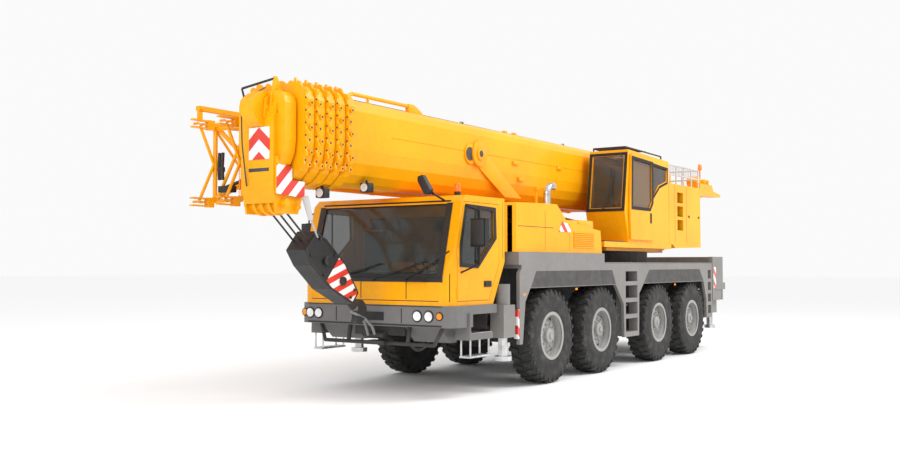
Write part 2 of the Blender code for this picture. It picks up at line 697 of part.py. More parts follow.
def make_outrigger(origin, centre, side, jack_place, name):
    """Sliding beam that lies in the box across the frame, and the support jack at its end."""
    jack_x, jack_top = jack_place
    middle = centre + side * BEAM_PITCH / 2
    low = OUTRIGGER_Z - BEAM_HEIGHT / 2
    high = OUTRIGGER_Z + BEAM_HEIGHT / 2
    bm = bmesh.new()
    add_box(
        bm, (-side * 1.05, side * (jack_x - 0.06)),
        (middle - BEAM_WIDTH / 2, middle + BEAM_WIDTH / 2), (low, high),
    )
    beam = node(origin, f"{name}_outrigger", bm, GREY, pivot=(side * jack_x, middle, OUTRIGGER_Z))
    bm = bmesh.new()
    add_box(
        bm, (side * (jack_x - 0.105), side * (jack_x + 0.105)), (centre - 0.15, centre + 0.15),
        (low - 0.16, high + 0.02),
    )
    add_rod(bm, (side * jack_x, centre, low), (side * jack_x, centre, jack_top), JACK_RADIUS, 16)
    if centre == REAR_OUTRIGGER:
        plate = (centre - END_PLATE_REACH, centre + END_PLATE_REACH)
        add_box(bm, (side * (jack_x + 0.10), side * (HALF_WIDTH - 0.005)), plate, (0.99, END_PLATE_TOP))
    join(beam, bm)
    bm = bmesh.new()
    add_rod(bm, (side * jack_x, centre, 0.4), (side * jack_x, centre, jack_top - 0.03), 0.065 + 0.0005, 16)
    cut(beam, bm)
    bm = bmesh.new()
    add_rod(bm, (side * jack_x, centre, FOOT_BOTTOM), (side * jack_x, centre, jack_top - 0.04), 0.065, 16)
    jack = node(origin, f"{name}_jack", bm, STEEL, pivot=(side * jack_x, centre, FOOT_BOTTOM))
    bm = bmesh.new()
    add_rod(
        bm, (side * jack_x, centre, FOOT_BOTTOM - 0.001),
        (side * jack_x, centre, FOOT_BOTTOM + 0.06), 0.12, 16,
    )
    join(jack, bm)


# Superstructure


def make_slewing_ring(origin):
    bm = bmesh.new()
    low = DECK_TOP + SEAT_GAP
    add_rod(bm, (0, SLEW_Y, low), (0, SLEW_Y, RING_TOP), RING_RADIUS, 32)
    node(origin, "slewing_ring", bm, DARK)


def make_slewing_frame(origin):
    """Base plate on the ring, two side plates that rise to the boom's foot, and the cab's platform."""
    low = RING_TOP + SEAT_GAP
    plate = [
        (2.55, low), (6.30, low + 0.05), (6.50, 2.74), (7.45, 2.84), (7.25, 3.35), (6.70, 3.40),
        (5.60, 2.60), (2.55, 2.20),
    ]
    bm = bmesh.new()
    add_box(bm, (-1.0, 1.0), (2.60, 4.85), (low, PLATFORM_TOP))
    frame = node(origin, "slewing_frame", bm, YELLOW, pivot=(0, SLEW_Y, RING_TOP))
    bm = bmesh.new()
    for side in (1, -1):
        add_prism(bm, plate, "X", side * SIDE_PLATE_X, side * (SIDE_PLATE_X + SIDE_PLATE))
        foot = side * (BOOM_HALF_WIDTH + 0.012)
        add_rod(bm, (foot, BOOM_PIVOT_Y, BOOM_PIVOT_Z), (side * 0.58, BOOM_PIVOT_Y, BOOM_PIVOT_Z), 0.16, 16)
        foot = side * 0.175
        add_box(
            bm, (foot, side * 0.23), (CYLINDER_FOOT_Y - 0.14, CYLINDER_FOOT_Y + 0.14),
            (low + 0.02, CYLINDER_FOOT_Z + 0.12),
        )
    add_box(bm, (-0.52, 0.52), (4.80, 6.28), (low, PLATFORM_TOP))
    add_box(bm, (0.5, OPERATOR_OUTER), (1.94, 4.83), (2.0, PLATFORM_TOP))
    arm = [(6.42, 3.10), (REAR_TIP, 3.12), (REAR_TIP, 3.17), (7.20, 3.22), (7.12, 3.34), (6.42, 3.34)]
    for side in (1, -1):
        add_prism(bm, arm, "X", side * 1.00, side * 1.27)
        add_box(bm, (side * 0.52, side * 1.05), (7.02, 7.18), (3.10, 3.20))
    add_box(bm, (-1.20, -0.52), (3.4, 6.1), (2.0, 2.45))
    join(frame, bm)


def make_operator_cab(origin):
    """Hollow cab on the platform, with its front, roof, door and inner side openings cut."""
    wall = OPERATOR_WALL
    outline = [
        (OPERATOR_FRONT + 0.10, OPERATOR_FLOOR), (OPERATOR_FRONT - 0.06, 2.60),
        (OPERATOR_FRONT + 0.10, OPERATOR_ROOF),
    ]
    outline += [(OPERATOR_REAR, OPERATOR_ROOF - 0.06), (OPERATOR_REAR, OPERATOR_FLOOR)]
    inside = [
        (OPERATOR_FRONT + 0.14, OPERATOR_FLOOR + wall), (OPERATOR_FRONT - 0.02, 2.60),
        (OPERATOR_FRONT + 0.14, OPERATOR_ROOF - wall),
    ]
    inside += [
        (OPERATOR_REAR - wall, OPERATOR_ROOF - 0.06 - wall),
        (OPERATOR_REAR - wall, OPERATOR_FLOOR + wall),
    ]
    low = PLATFORM_TOP + SEAT_GAP
    bm = bmesh.new()
    add_prism(bm, outline, "X", OPERATOR_INNER, OPERATOR_OUTER)
    cab = node(origin, "operator_cab", bm, YELLOW, pivot=(OPERATOR_INNER, OPERATOR_REAR, low))
    bm = bmesh.new()
    add_prism(bm, inside, "X", OPERATOR_INNER + wall, OPERATOR_OUTER - wall)
    cut(cab, bm, "inside")
    bm = bmesh.new()
    add_box(
        bm, (OPERATOR_INNER + 0.08, OPERATOR_OUTER - 0.07),
        (OPERATOR_FRONT - 0.3, OPERATOR_FRONT + 0.13), (2.68, 3.58),
    )
    add_box(
        bm, (OPERATOR_INNER + 0.08, OPERATOR_OUTER - 0.08),
        (OPERATOR_FRONT + 0.25, OPERATOR_REAR - 0.9), (OPERATOR_ROOF - 0.2, OPERATOR_ROOF + 0.1),
    )
    add_prism(
        bm, [(2.98, 2.68), (3.80, 2.68), (4.25, 3.15), (4.62, 3.25), (4.62, 3.50), (2.98, 3.56)],
        "X", OPERATOR_INNER - 0.1, OPERATOR_INNER + 0.1,
    )
    add_prism(bm, operator_window(), "X", OPERATOR_OUTER - 0.1, OPERATOR_OUTER + 0.1)
    cut(cab, bm, "openings")


def operator_window():
    return [(3.98, 2.90), (4.26, 3.15), (4.62, 3.25), (4.64, 3.50), (3.98, 3.54)]


def make_operator_door(origin):
    """Outer sliding door that hangs on its rail just outside the cab's side."""
    low = OPERATOR_OUTER + RUNNING_GAP
    bm = bmesh.new()
    outline = [(2.92, 2.14), (3.90, 2.14), (3.90, 3.57), (2.95, 3.60), (2.88, 2.66)]
    add_prism(bm, outline, "X", low, low + 0.035)
    door = node(origin, "operator_door", bm, YELLOW, pivot=(low, 3.4, OPERATOR_FLOOR))
    bm = bmesh.new()
    add_box(bm, (OPERATOR_OUTER + SEAT_GAP, low + 0.02), (3.05, 3.80), (3.54, 3.56))
    join(door, bm)
    bm = bmesh.new()
    window = [(2.97, 2.70), (3.72, 2.70), (3.84, 2.83), (3.84, 3.50), (3.0, 3.53)]
    add_prism(bm, window, "X", low - 0.1, low + 0.1)
    cut(door, bm)


def make_operator_seat(origin):
    floor = OPERATOR_FLOOR + OPERATOR_WALL + SEAT_GAP
    bm = bmesh.new()
    add_box(bm, (0.68, 1.16), (3.55, 4.10), (floor, 2.58))
    seat = node(origin, "operator_seat", bm, SEAT_CLOTH)
    bm = bmesh.new()
    add_box(bm, (0.69, 1.15), (4.0, 4.14), (2.5, 3.2))
    add_box(bm, (0.78, 1.06), (4.02, 4.12), (3.15, 3.42))
    for x in (0.63, 1.14):
        add_box(bm, (x, x + 0.07), (3.50, 3.95), (2.5, 2.78))
    add_box(bm, (0.65, 1.20), (3.5, 4.12), (2.50, 2.56))
    join(seat, bm)


def make_side_housing(origin):
    """Yellow service housing behind the operator's cab, with three recessed steps in its side."""
    low = PLATFORM_TOP + SEAT_GAP
    outline = [
        (OPERATOR_REAR + 0.012, low), (4.90, low), (5.05, HOUSING_BOTTOM),
        (HOUSING_REAR, HOUSING_BOTTOM + 0.03),
    ]
    outline += [(HOUSING_REAR, HOUSING_TOP), (OPERATOR_REAR + 0.012, HOUSING_TOP)]
    bm = bmesh.new()
    add_prism(bm, outline, "X", SIDE_PLATE_X + SIDE_PLATE + SEAT_GAP, OPERATOR_OUTER)
    housing = node(origin, "side_housing", bm, YELLOW)
    bm = bmesh.new()
    for z in (2.36, 2.62, 2.88):
        add_box(bm, (OPERATOR_OUTER - 0.14, OPERATOR_OUTER + 0.1), (5.15, 5.45), (z, z + 0.20))
    cut(housing, bm)


def make_winch(origin):
    """Hoist winch drum, carried between the side plates behind the boom's foot."""
    bm = bmesh.new()
    inner = SIDE_PLATE_X - SEAT_GAP
    profile = [(-inner, 0), (-inner, 0.10), (-0.40, 0.10), (-0.40, 0.25), (-0.37, 0.25), (-0.37, 0.17)]
    profile += [(0.37, 0.17), (0.37, 0.25), (0.40, 0.25), (0.40, 0.10), (inner, 0.10), (inner, 0)]
    add_turned(bm, profile, 20, (0, WINCH_Y, WINCH_Z))
    node(origin, "hoist_winch", bm, STEEL, pivot=(0, WINCH_Y, WINCH_Z), smooth=True)


# Boom


def make_boom_base(origin):
    """Base section with its end collar, the cylinder lugs below it and the foot at the rear."""
    width, bottom, top = section_size(0)
    wall = BOOM_WALL
    outer = boom_outline(width, bottom, top)
    inner = boom_outline(width - wall, bottom + wall, top - wall)
    collar = boom_outline(width + COLLAR_PROUD, bottom - COLLAR_PROUD, top + COLLAR_PROUD)
    mouth = mouth_outline(0)
    front = BASE_FRONT
    bm = bmesh.new()
    stations = [
        (BOOM_REAR - 0.35, outer), (front + COLLAR_LENGTH, outer), (front + COLLAR_LENGTH, collar),
        (front, collar),
    ]
    stations += [(front, mouth), (front + 0.1, mouth), (front + 0.1, inner), (BOOM_REAR - 0.35, inner)]
    add_loop_solid(bm, stations)
    base = node(origin, "boom_base", bm, YELLOW, pivot=(0, BOOM_PIVOT_Y, BOOM_PIVOT_Z))
    bm = bmesh.new()
    foot = BOOM_HALF_WIDTH + 0.005
    for side in (1, -1):
        add_rod(
            bm, (side * (foot - 0.06), BOOM_PIVOT_Y, BOOM_PIVOT_Z),
            (side * foot, BOOM_PIVOT_Y, BOOM_PIVOT_Z), 0.26, 16,
        )
    add_top_lug(bm, front, top + COLLAR_PROUD)
    join(base, bm)
    bm = bmesh.new()
    add_loop_clear(bm, 0)
    cut(base, bm)


def make_cylinder_lugs(origin):
    """Two lug plates on one pad under the boom, which hold the luffing rod's eye between them."""
    top = BOOM_BOTTOM - SEAT_GAP
    rear = LUG_Y + 0.16
    bm = bmesh.new()
    add_box(bm, (-LUG_INNER - 0.06, LUG_INNER + 0.06), (LUG_Y - 0.90, rear), (top - 0.022, top))
    lugs = node(origin, "cylinder_lugs", bm, YELLOW)
    bm = bmesh.new()
    outline = [(LUG_Y - 0.16, LUG_Z - 0.02), (LUG_Y - 0.05, LUG_Z - 0.13), (LUG_Y + 0.09, LUG_Z - 0.10)]
    outline += [(rear - 0.01, top - 0.01), (LUG_Y - 0.89, top - 0.01)]
    for side in (1, -1):
        add_prism(bm, outline, "X", side * LUG_INNER, side * (LUG_INNER + 0.06))
    join(lugs, bm)


def mouth_outline(index):
    """The close-fitting mouth of a section: its lower pad carries the next section."""
    inset = (index + 1) * SECTION_STEP
    half = BOOM_HALF_WIDTH - inset + RUNNING_GAP
    return boom_outline(half, BOOM_BOTTOM + inset - SEAT_GAP, BOOM_TOP - inset + RUNNING_GAP)


def add_loop_clear(bm, index):
    """Room for the sections inside, which cuts back whatever was joined on through the wall."""
    width, bottom, top = section_size(index)
    wall = BOOM_WALL
    outline = boom_outline(width - wall, bottom + wall, top - wall)
    add_prism(bm, outline, "Y", BASE_FRONT + 0.11, BOOM_REAR + 0.2)


def collar_front(index):
    return BASE_FRONT - index * COLLAR_PITCH


def make_telescope(origin, index):
    """Telescope section with its end collar. Its mouth carries the next smaller section."""
    width, bottom, top = section_size(index)
    wall = BOOM_WALL
    outer = boom_outline(width, bottom, top)
    inner = boom_outline(width - wall, bottom + wall, top - wall)
    proud = COLLAR_PROUD + index * SECTION_STEP * 0.85
    collar = boom_outline(width + proud, bottom - proud, top + proud)
    front = collar_front(index)
    rear = BOOM_REAR - 0.75 - index * 0.12
    bm = bmesh.new()
    stations = [
        (rear, outer), (front + COLLAR_LENGTH, outer), (front + COLLAR_LENGTH, collar),
        (front, collar),
    ]
    stations += [
        (front, mouth_outline(index)), (front + 0.1, mouth_outline(index)), (front + 0.1, inner),
        (rear, inner),
    ]
    add_loop_solid(bm, stations)
    section = node(origin, f"telescope_{index}", bm, YELLOW, pivot=(0, front, bottom))
    bm = bmesh.new()
    add_top_lug(bm, front, top + proud)
    join(section, bm)


def add_top_lug(bm, front, top):
    """The pointed lug on top of each collar."""
    outline = [
        (front + 0.02, top - 0.02), (front + 0.14, top - 0.02), (front + 0.10, top + LUG_HEIGHT),
        (front + 0.05, top + LUG_HEIGHT),
    ]
    add_prism(bm, outline, "X", -0.05, 0.05)


def make_boom_head(origin):
    """Innermost section with the head: narrow sheave nest, top pulley guard and side cheeks."""
    index = TELESCOPES
    width, bottom, top = section_size(index)
    wall = BOOM_WALL
    front = collar_front(index) + 0.12
    rear = BOOM_REAR - 0.75 - index * 0.12
    bm = bmesh.new()
    stations = [(rear, boom_outline(width, bottom, top)), (front, boom_outline(width, bottom, top))]
    stations += [
        (front, boom_outline(width - wall, bottom + wall, top - wall)),
        (rear, boom_outline(width - wall, bottom + wall, top - wall)),
    ]
    add_loop_solid(bm, stations)
    head = node(origin, f"telescope_{index}", bm, YELLOW, pivot=(0, front, bottom))
    half = HEAD_HALF_WIDTH
    bm = bmesh.new()
    add_prism(bm, boom_outline(width + 0.08, bottom - 0.08, top + 0.08), "Y", front - 0.16, front + 0.02)
    cheek = [(HEAD_FRONT, 2.62), (HEAD_FRONT + 0.06, HEAD_BOTTOM), (SHEAVE_Y + 0.20, HEAD_BOTTOM)]
    cheek += [(CHEEK_REAR, 2.48), (CHEEK_REAR, CHEEK_TOP), (front - 0.05, CHEEK_TOP), (front - 0.05, 3.60)]
    cheek += [(HEAD_FRONT + 0.08, 3.66), (HEAD_FRONT, 3.40)]
    add_prism(bm, cheek, "X", -half, half)
    flat = PULLEY_RADIUS / math.cos(math.pi / PULLEY_SIDES)
    add_turned(
        bm, [(-0.10, 0), (-0.10, flat), (0.10, flat), (0.10, 0)], PULLEY_SIDES,
        (0, PULLEY_Y, PULLEY_Z),
    )
    add_box(bm, (-half - 0.04, half + 0.04), (HEAD_FRONT + 0.02, front - 0.05), (2.62, 2.95))
    join(head, bm)
    bm = bmesh.new()
    add_box(
        bm, (-half + 0.03, half - 0.03), (SHEAVE_Y - SHEAVE_RADIUS - 0.012, SHEAVE_Y + 0.5),
        (2.0, SHEAVE_Z + SHEAVE_RADIUS + 0.012),
    )
    cut(head, bm)


def make_head_sheaves(origin):
    """Three rope sheaves on one shaft, seated between the head's cheeks."""
    half = HEAD_HALF_WIDTH - 0.03 - SEAT_GAP
    groove = SHEAVE_RADIUS - 0.03
    profile = [(-half, 0), (-half, groove)]
    for x in ROPE_PLACES:
        profile += [
            (x - 0.022, groove), (x - 0.02, SHEAVE_RADIUS), (x + 0.02, SHEAVE_RADIUS),
            (x + 0.022, groove),
        ]
    profile += [(half, groove), (half, 0)]
    bm = bmesh.new()
    add_turned(bm, profile, SHEAVE_SIDES, (0, SHEAVE_Y, SHEAVE_Z))
    node(origin, "head_sheaves", bm, YELLOW, smooth=True)


def make_luffing_cylinder(origin):
    """Barrel on the slewing frame and rod under the boom. The rod's eye lies between the boom's lugs."""
    foot = Vector((0, CYLINDER_FOOT_Y, CYLINDER_FOOT_Z))
    eye = Vector((0, LUG_Y, LUG_Z))
    line = (eye - foot).normalized()
    bm = bmesh.new()
    add_rod(bm, foot, foot + line * BARREL_LENGTH, BARREL_RADIUS, 20)
    barrel = node(origin, "luffing_barrel", bm, YELLOW, pivot=foot, smooth=True)
    bm = bmesh.new()
    side = Vector((0.175 - SEAT_GAP, 0, 0))
    add_rod(bm, foot - side, foot + side, 0.13, 16)
    join(barrel, bm)
    bm = bmesh.new()
    add_rod(bm, foot + line * 0.28, foot + line * (BARREL_LENGTH + 0.1), ROD_RADIUS + 0.0005, 16)
    cut(barrel, bm)
    bm = bmesh.new()
    add_rod(bm, foot + line * 0.30, eye - line * 0.02, ROD_RADIUS, 16)
    rod = node(origin, "luffing_rod", bm, STEEL, pivot=foot, smooth=True)
    bm = bmesh.new()
    side = Vector((LUG_INNER - SEAT_GAP, 0, 0))
    add_rod(bm, eye - side, eye + side, 0.115, 16)
    join(rod, bm)


def make_folding_jib(origin):
    """Lattice jib stowed on the boom's right side: four chords, lacing, and forks at its front."""
    inner, outer = JIB_INNER, JIB_OUTER
    bm = bmesh.new()
    add_rod(bm, (inner, JIB_FRONT, JIB_TOP), (inner, JIB_REAR, JIB_TOP), CHORD_RADIUS, 6)
    jib = node(origin, "folding_jib", bm, YELLOW)
    bm = bmesh.new()
    corners = [(inner, JIB_TOP), (outer, JIB_TOP), (outer, JIB_BOTTOM), (inner, JIB_BOTTOM)]
    for x, z in corners[1:]:
        add_rod(bm, (x, JIB_FRONT, z), (x, JIB_REAR, z), CHORD_RADIUS, 6)
    bay = (JIB_REAR - JIB_FRONT - 0.2) / JIB_BAYS
    for (x1, z1), (x2, z2) in zip(corners, corners[1:] + corners[:1]):
        for place in (JIB_FRONT + 0.1, JIB_REAR - 0.1):
            add_rod(bm, (x1, place, z1), (x2, place, z2), LACE_RADIUS, 4)
        for i in range(JIB_BAYS):
            start = JIB_FRONT + 0.1 + i * bay
            first, second = ((x1, z1), (x2, z2)) if i % 2 == 0 else ((x2, z2), (x1, z1))
            low = (first[0], start, first[1])
            high = (second[0], start + bay, second[1])
            add_rod(bm, low, high, LACE_RADIUS, 4)
    for x in (inner, outer):
        add_rod(bm, (x, JIB_FRONT + 0.1, JIB_TOP), (x, JIB_POST - 0.10, JIB_POST_TOP), CHORD_RADIUS, 6)
        add_rod(bm, (x, JIB_FRONT + 0.1, JIB_BOTTOM), (x, JIB_POST - 0.10, JIB_POST_BOTTOM), CHORD_RADIUS, 6)
        add_rod(bm, (x, JIB_POST, JIB_POST_TOP), (x, JIB_POST, JIB_POST_BOTTOM), 0.03, 6)
        add_rod(bm, (x, JIB_POST, JIB_POST_TOP - 0.04), (x, JIB_FRONT + 0.1, JIB_BOTTOM), LACE_RADIUS, 4)
        for z in (JIB_POST_TOP, JIB_POST_BOTTOM):
            add_box(bm, (x - 0.035, x + 0.035), (JIB_POST - 0.14, JIB_POST - 0.04), (z - 0.06, z + 0.06))
            for lift in (-0.055, 0.035):
                add_box(bm, (x - 0.03, x + 0.03), (JIB_TIP, JIB_POST - 0.08), (z + lift, z + lift + 0.02))
    for z in (JIB_POST_TOP - 0.04, JIB_POST_BOTTOM + 0.02):
        add_rod(bm, (inner, JIB_POST, z), (outer, JIB_POST, z), LACE_RADIUS, 4)
    for y in (-1.6, 3.4):
        add_box(bm, (inner - 0.02, -BOOM_HALF_WIDTH - SEAT_GAP), (y, y + 0.12), (3.38, 3.50))
    join(jib, bm)


def rope_point(distance, across=0.0, x=0.0):
    """A point along the hoist ropes' line from the head's sheaves, and square to it."""
    lean = HOOK_LEAN
    y = SHEAVE_Y + distance * math.cos(lean) + across * math.sin(lean)
    z = SHEAVE_Z - distance * math.sin(lean) + across * math.cos(lean)
    return (x, y, z)


def make_hook_block(origin):
    """Hook block with its cheek plates, hung on straight rope falls from the head's sheaves."""
    outline = [(BLOCK_TOP, 0.15), (BLOCK_TOP + 0.22, 0.21), (1.35, 0.21), (BLOCK_BOTTOM, 0.09)]
    outline += [(distance, -across) for distance, across in reversed(outline)]
    points = [rope_point(*spot)[1:] for spot in outline]
    bm = bmesh.new()
    add_prism(bm, points, "X", -0.15, 0.15)
    block = node(origin, "hook_block", bm, BLOCK_BLACK, pivot=(0, SHEAVE_Y, SHEAVE_Z))
    bm = bmesh.new()
    for x in ROPE_PLACES:
        add_rod(
            bm, rope_point(SHEAVE_RADIUS + SEAT_GAP, x=x), rope_point(BLOCK_TOP + 0.05, x=x),
            ROPE_RADIUS, 8,
        )
    join(block, bm)


def make_crane_hook(origin):
    """Forged hook that swivels on its shank below the block."""
    middle = 2.06
    outer, inner = 0.155, 0.075
    bend = [math.radians(-75 + 255 * i / 12) for i in range(13)]
    outline = [(middle + outer * math.cos(a), outer * math.sin(a)) for a in bend]
    outline += [(middle + inner * math.cos(a), inner * math.sin(a) + 0.01) for a in reversed(bend)]
    points = [rope_point(*spot)[1:] for spot in outline]
    start = BLOCK_BOTTOM + SEAT_GAP
    bm = bmesh.new()
    add_prism(bm, points, "X", -0.045, 0.045)
    hook = node(origin, "crane_hook", bm, BLOCK_BLACK, pivot=rope_point(start))
    bm = bmesh.new()
    add_rod(bm, rope_point(start), rope_point(middle - 0.08), 0.05, 12)
    join(hook, bm)


def main():
    clear_scene()
    origin = make_origin()
    make_carrier_frame(origin)
    make_deck(origin)
    make_bulkhead(origin)
    make_driver_cab(origin)
    make_cab_interior(origin)
    make_front_bumper(origin)
    make_engine_cover(origin)
    make_engine_block(origin)
    for side, hand in ((1, "left"), (-1, "right")):
        make_fairing(origin, side, f"{hand}_fairing")
        make_cab_door(origin, side, f"{hand}_cab_door")
        make_outrigger(origin, FRONT_OUTRIGGER, side, FRONT_JACK, f"front_{hand}")
        make_outrigger(origin, REAR_OUTRIGGER, side, REAR_JACK, f"rear_{hand}")
    for number, y in enumerate(AXLE_PLACES, 1):
        make_axle(origin, number, y)
        for side, hand in ((1, "left"), (-1, "right")):
            make_knuckle(origin, number, y, side, f"knuckle_{number}_{hand}")
            make_wheel(origin, number, y, side, f"wheel_{number}_{hand}")
    make_slewing_ring(origin)
    make_slewing_frame(origin)
    make_operator_cab(origin)
    make_operator_door(origin)
    make_operator_seat(origin)
    make_side_housing(origin)
    make_winch(origin)
    make_boom_base(origin)
    make_cylinder_lugs(origin)
    for index in range(1, TELESCOPES):
        make_telescope(origin, index)
    make_boom_head(origin)
    make_head_sheaves(origin)
    make_luffing_cylinder(origin)
    make_folding_jib(origin)
    make_hook_block(origin)
    make_crane_hook(origin)


main()
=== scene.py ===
"""Looks of the four-axle mobile crane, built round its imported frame.

The machine is 12.38 m long. Its front faces -Y and its left side is +X. The sections follow it as it
is put together: chassis, wheels, cab, engine housing, deck, upper works, boom, jib and hook.
"""

import math

import bmesh
import bpy
from mathutils import Matrix, Vector


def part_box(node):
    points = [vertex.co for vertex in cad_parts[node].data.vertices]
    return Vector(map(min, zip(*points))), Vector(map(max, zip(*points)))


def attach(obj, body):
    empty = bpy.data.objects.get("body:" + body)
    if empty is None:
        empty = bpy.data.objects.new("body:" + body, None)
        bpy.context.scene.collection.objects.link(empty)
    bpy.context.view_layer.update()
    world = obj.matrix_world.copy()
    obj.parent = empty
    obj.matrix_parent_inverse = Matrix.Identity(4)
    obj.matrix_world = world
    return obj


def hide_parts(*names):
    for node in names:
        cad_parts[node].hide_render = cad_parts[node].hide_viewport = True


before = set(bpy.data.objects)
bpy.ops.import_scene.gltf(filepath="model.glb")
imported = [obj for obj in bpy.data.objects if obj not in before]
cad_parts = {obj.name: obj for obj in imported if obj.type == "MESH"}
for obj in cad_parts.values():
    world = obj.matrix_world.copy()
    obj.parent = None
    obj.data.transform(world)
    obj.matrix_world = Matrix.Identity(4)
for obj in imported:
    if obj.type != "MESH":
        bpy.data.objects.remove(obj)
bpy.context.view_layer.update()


# Viewpoint, floor and light
# A pale matt floor and a broad overhead light, as in a works photo studio. A large panel on the
# cab's side carries most of the light, and a weaker one fills the front.

camera_data = bpy.data.cameras.new("view")
camera_data.lens = 39.35
camera_data.sensor_width = 36.0
camera_data.clip_end = 400.0
camera = bpy.data.objects.new("view", camera_data)
camera.location = (8.154, -14.095, 1.719)
heading = math.radians(34.14)
rise = math.radians(2.28)
sight = Vector((-math.sin(heading) * math.cos(rise), math.cos(heading) * math.cos(rise), math.sin(rise)))
camera.rotation_euler = sight.to_track_quat("-Z", "Y").to_euler()
bpy.context.scene.collection.objects.link(camera)
bpy.context.scene.camera = camera

floor_shape = bmesh.new()
bmesh.ops.create_grid(floor_shape, x_segments=1, y_segments=1, size=120.0)
floor_mesh = bpy.data.meshes.new("floor")
floor_shape.to_mesh(floor_mesh)
floor_shape.free()
floor = bpy.data.objects.new("floor", floor_mesh)
bpy.context.scene.collection.objects.link(floor)
floor_finish = bpy.data.materials.new("pale_floor")
floor_finish.use_nodes = True
floor_shader = floor_finish.node_tree.nodes["Principled BSDF"]
floor_shader.inputs["Base Color"].default_value = (0.96, 0.96, 0.96, 1.0)
floor_shader.inputs["Roughness"].default_value = 0.8
floor.data.materials.append(floor_finish)

sky = bpy.data.worlds.new("studio")
sky.use_nodes = True
sky.node_tree.nodes["Background"].inputs["Color"].default_value = (1.0, 1.0, 1.0, 1.0)
sky.node_tree.nodes["Background"].inputs["Strength"].default_value = 0.96
bpy.context.scene.world = sky
bpy.context.scene.view_settings.view_transform = "Standard"


def panel_light(name, place, aim, width, power):
    data = bpy.data.lights.new(name, "AREA")
    data.shape = "SQUARE"
    data.size = width
    data.energy = power
    light = bpy.data.objects.new(name, data)
    light.location = place
    light.rotation_euler = (Vector(aim) - Vector(place)).to_track_quat("-Z", "Y").to_euler()
    bpy.context.scene.collection.objects.link(light)


panel_light("key", (9.0, 3.0, 12.0), (0.0, -1.0, 1.5), 7.0, 1350.0)
panel_light("front_fill", (4.0, -16.0, 8.0), (0.0, -2.0, 2.0), 8.0, 560.0)


# Shared shop work: the paint, and the ways a blank becomes a piece
# The steel is shot-blasted, primed and sprayed with a two-pack gloss. The film shows a faint orange
# peel, slow shifts of tone between panels, and a thin film of road dust low down.

def finish_nodes(name, roughness, metallic=0.0, coat=0.0):
    """An empty finish: its node tree, its shader and an Object-coordinate source."""
    made = bpy.data.materials.new(name)
    made.use_nodes = True
    tree = made.node_tree
    shader = tree.nodes["Principled BSDF"]
    shader.inputs["Roughness"].default_value = roughness
    shader.inputs["Metallic"].default_value = metallic
    shader.inputs["Coat Weight"].default_value = coat
    shader.inputs["Coat Roughness"].default_value = 0.12
    place = tree.nodes.new("ShaderNodeTexCoord")
    return made, tree, shader, place.outputs["Object"]


def noise(tree, place, scale, detail=3.0):
    made = tree.nodes.new("ShaderNodeTexNoise")
    made.inputs["Scale"].default_value = scale
    made.inputs["Detail"].default_value = detail
    tree.links.new(place, made.inputs["Vector"])
    return made.outputs["Fac"]


def ramp(tree, source, stops):
    made = tree.nodes.new("ShaderNodeValToRGB")
    bands = made.color_ramp.elements
    while len(bands) < len(stops):
        bands.new(0.5)
    for band, (position, colour) in zip(bands, stops):
        band.position = position
        band.color = (*colour, 1.0)
    tree.links.new(source, made.inputs["Fac"])
    return made.outputs["Color"]


def mixed(tree, share, first, second, blend="MIX"):
    """Mixes two colours: each is a plain colour or another node's output."""
    made = tree.nodes.new("ShaderNodeMix")
    made.data_type = "RGBA"
    made.blend_type = blend
    for plug, value in (("Factor", share), ("A", first), ("B", second)):
        socket = made.inputs[plug]
        if isinstance(value, (float, int)):
            socket.default_value = value
        elif isinstance(value, tuple):
            socket.default_value = (*value, 1.0)
        else:
            tree.links.new(value, socket)
    return made.outputs["Result"]


def reckon(tree, operation, first, second=0.0, third=0.0):
    """One step of sums on node values."""
    made = tree.nodes.new("ShaderNodeMath")
    made.operation = operation
    for socket, value in zip(made.inputs, (first, second, third)):
        if isinstance(value, (float, int)):
            socket.default_value = value
        else:
            tree.links.new(value, socket)
    return made.outputs["Value"]


def axes_of(tree, place):
    made = tree.nodes.new("ShaderNodeSeparateXYZ")
    tree.links.new(place, made.inputs["Vector"])
    return made.outputs["X"], made.outputs["Y"], made.outputs["Z"]


def bump(tree, shader, height, strength, distance):
    made = tree.nodes.new("ShaderNodeBump")
    made.inputs["Strength"].default_value = strength
    made.inputs["Distance"].default_value = distance
    tree.links.new(height, made.inputs["Height"])
    tree.links.new(made.outputs["Normal"], shader.inputs["Normal"])


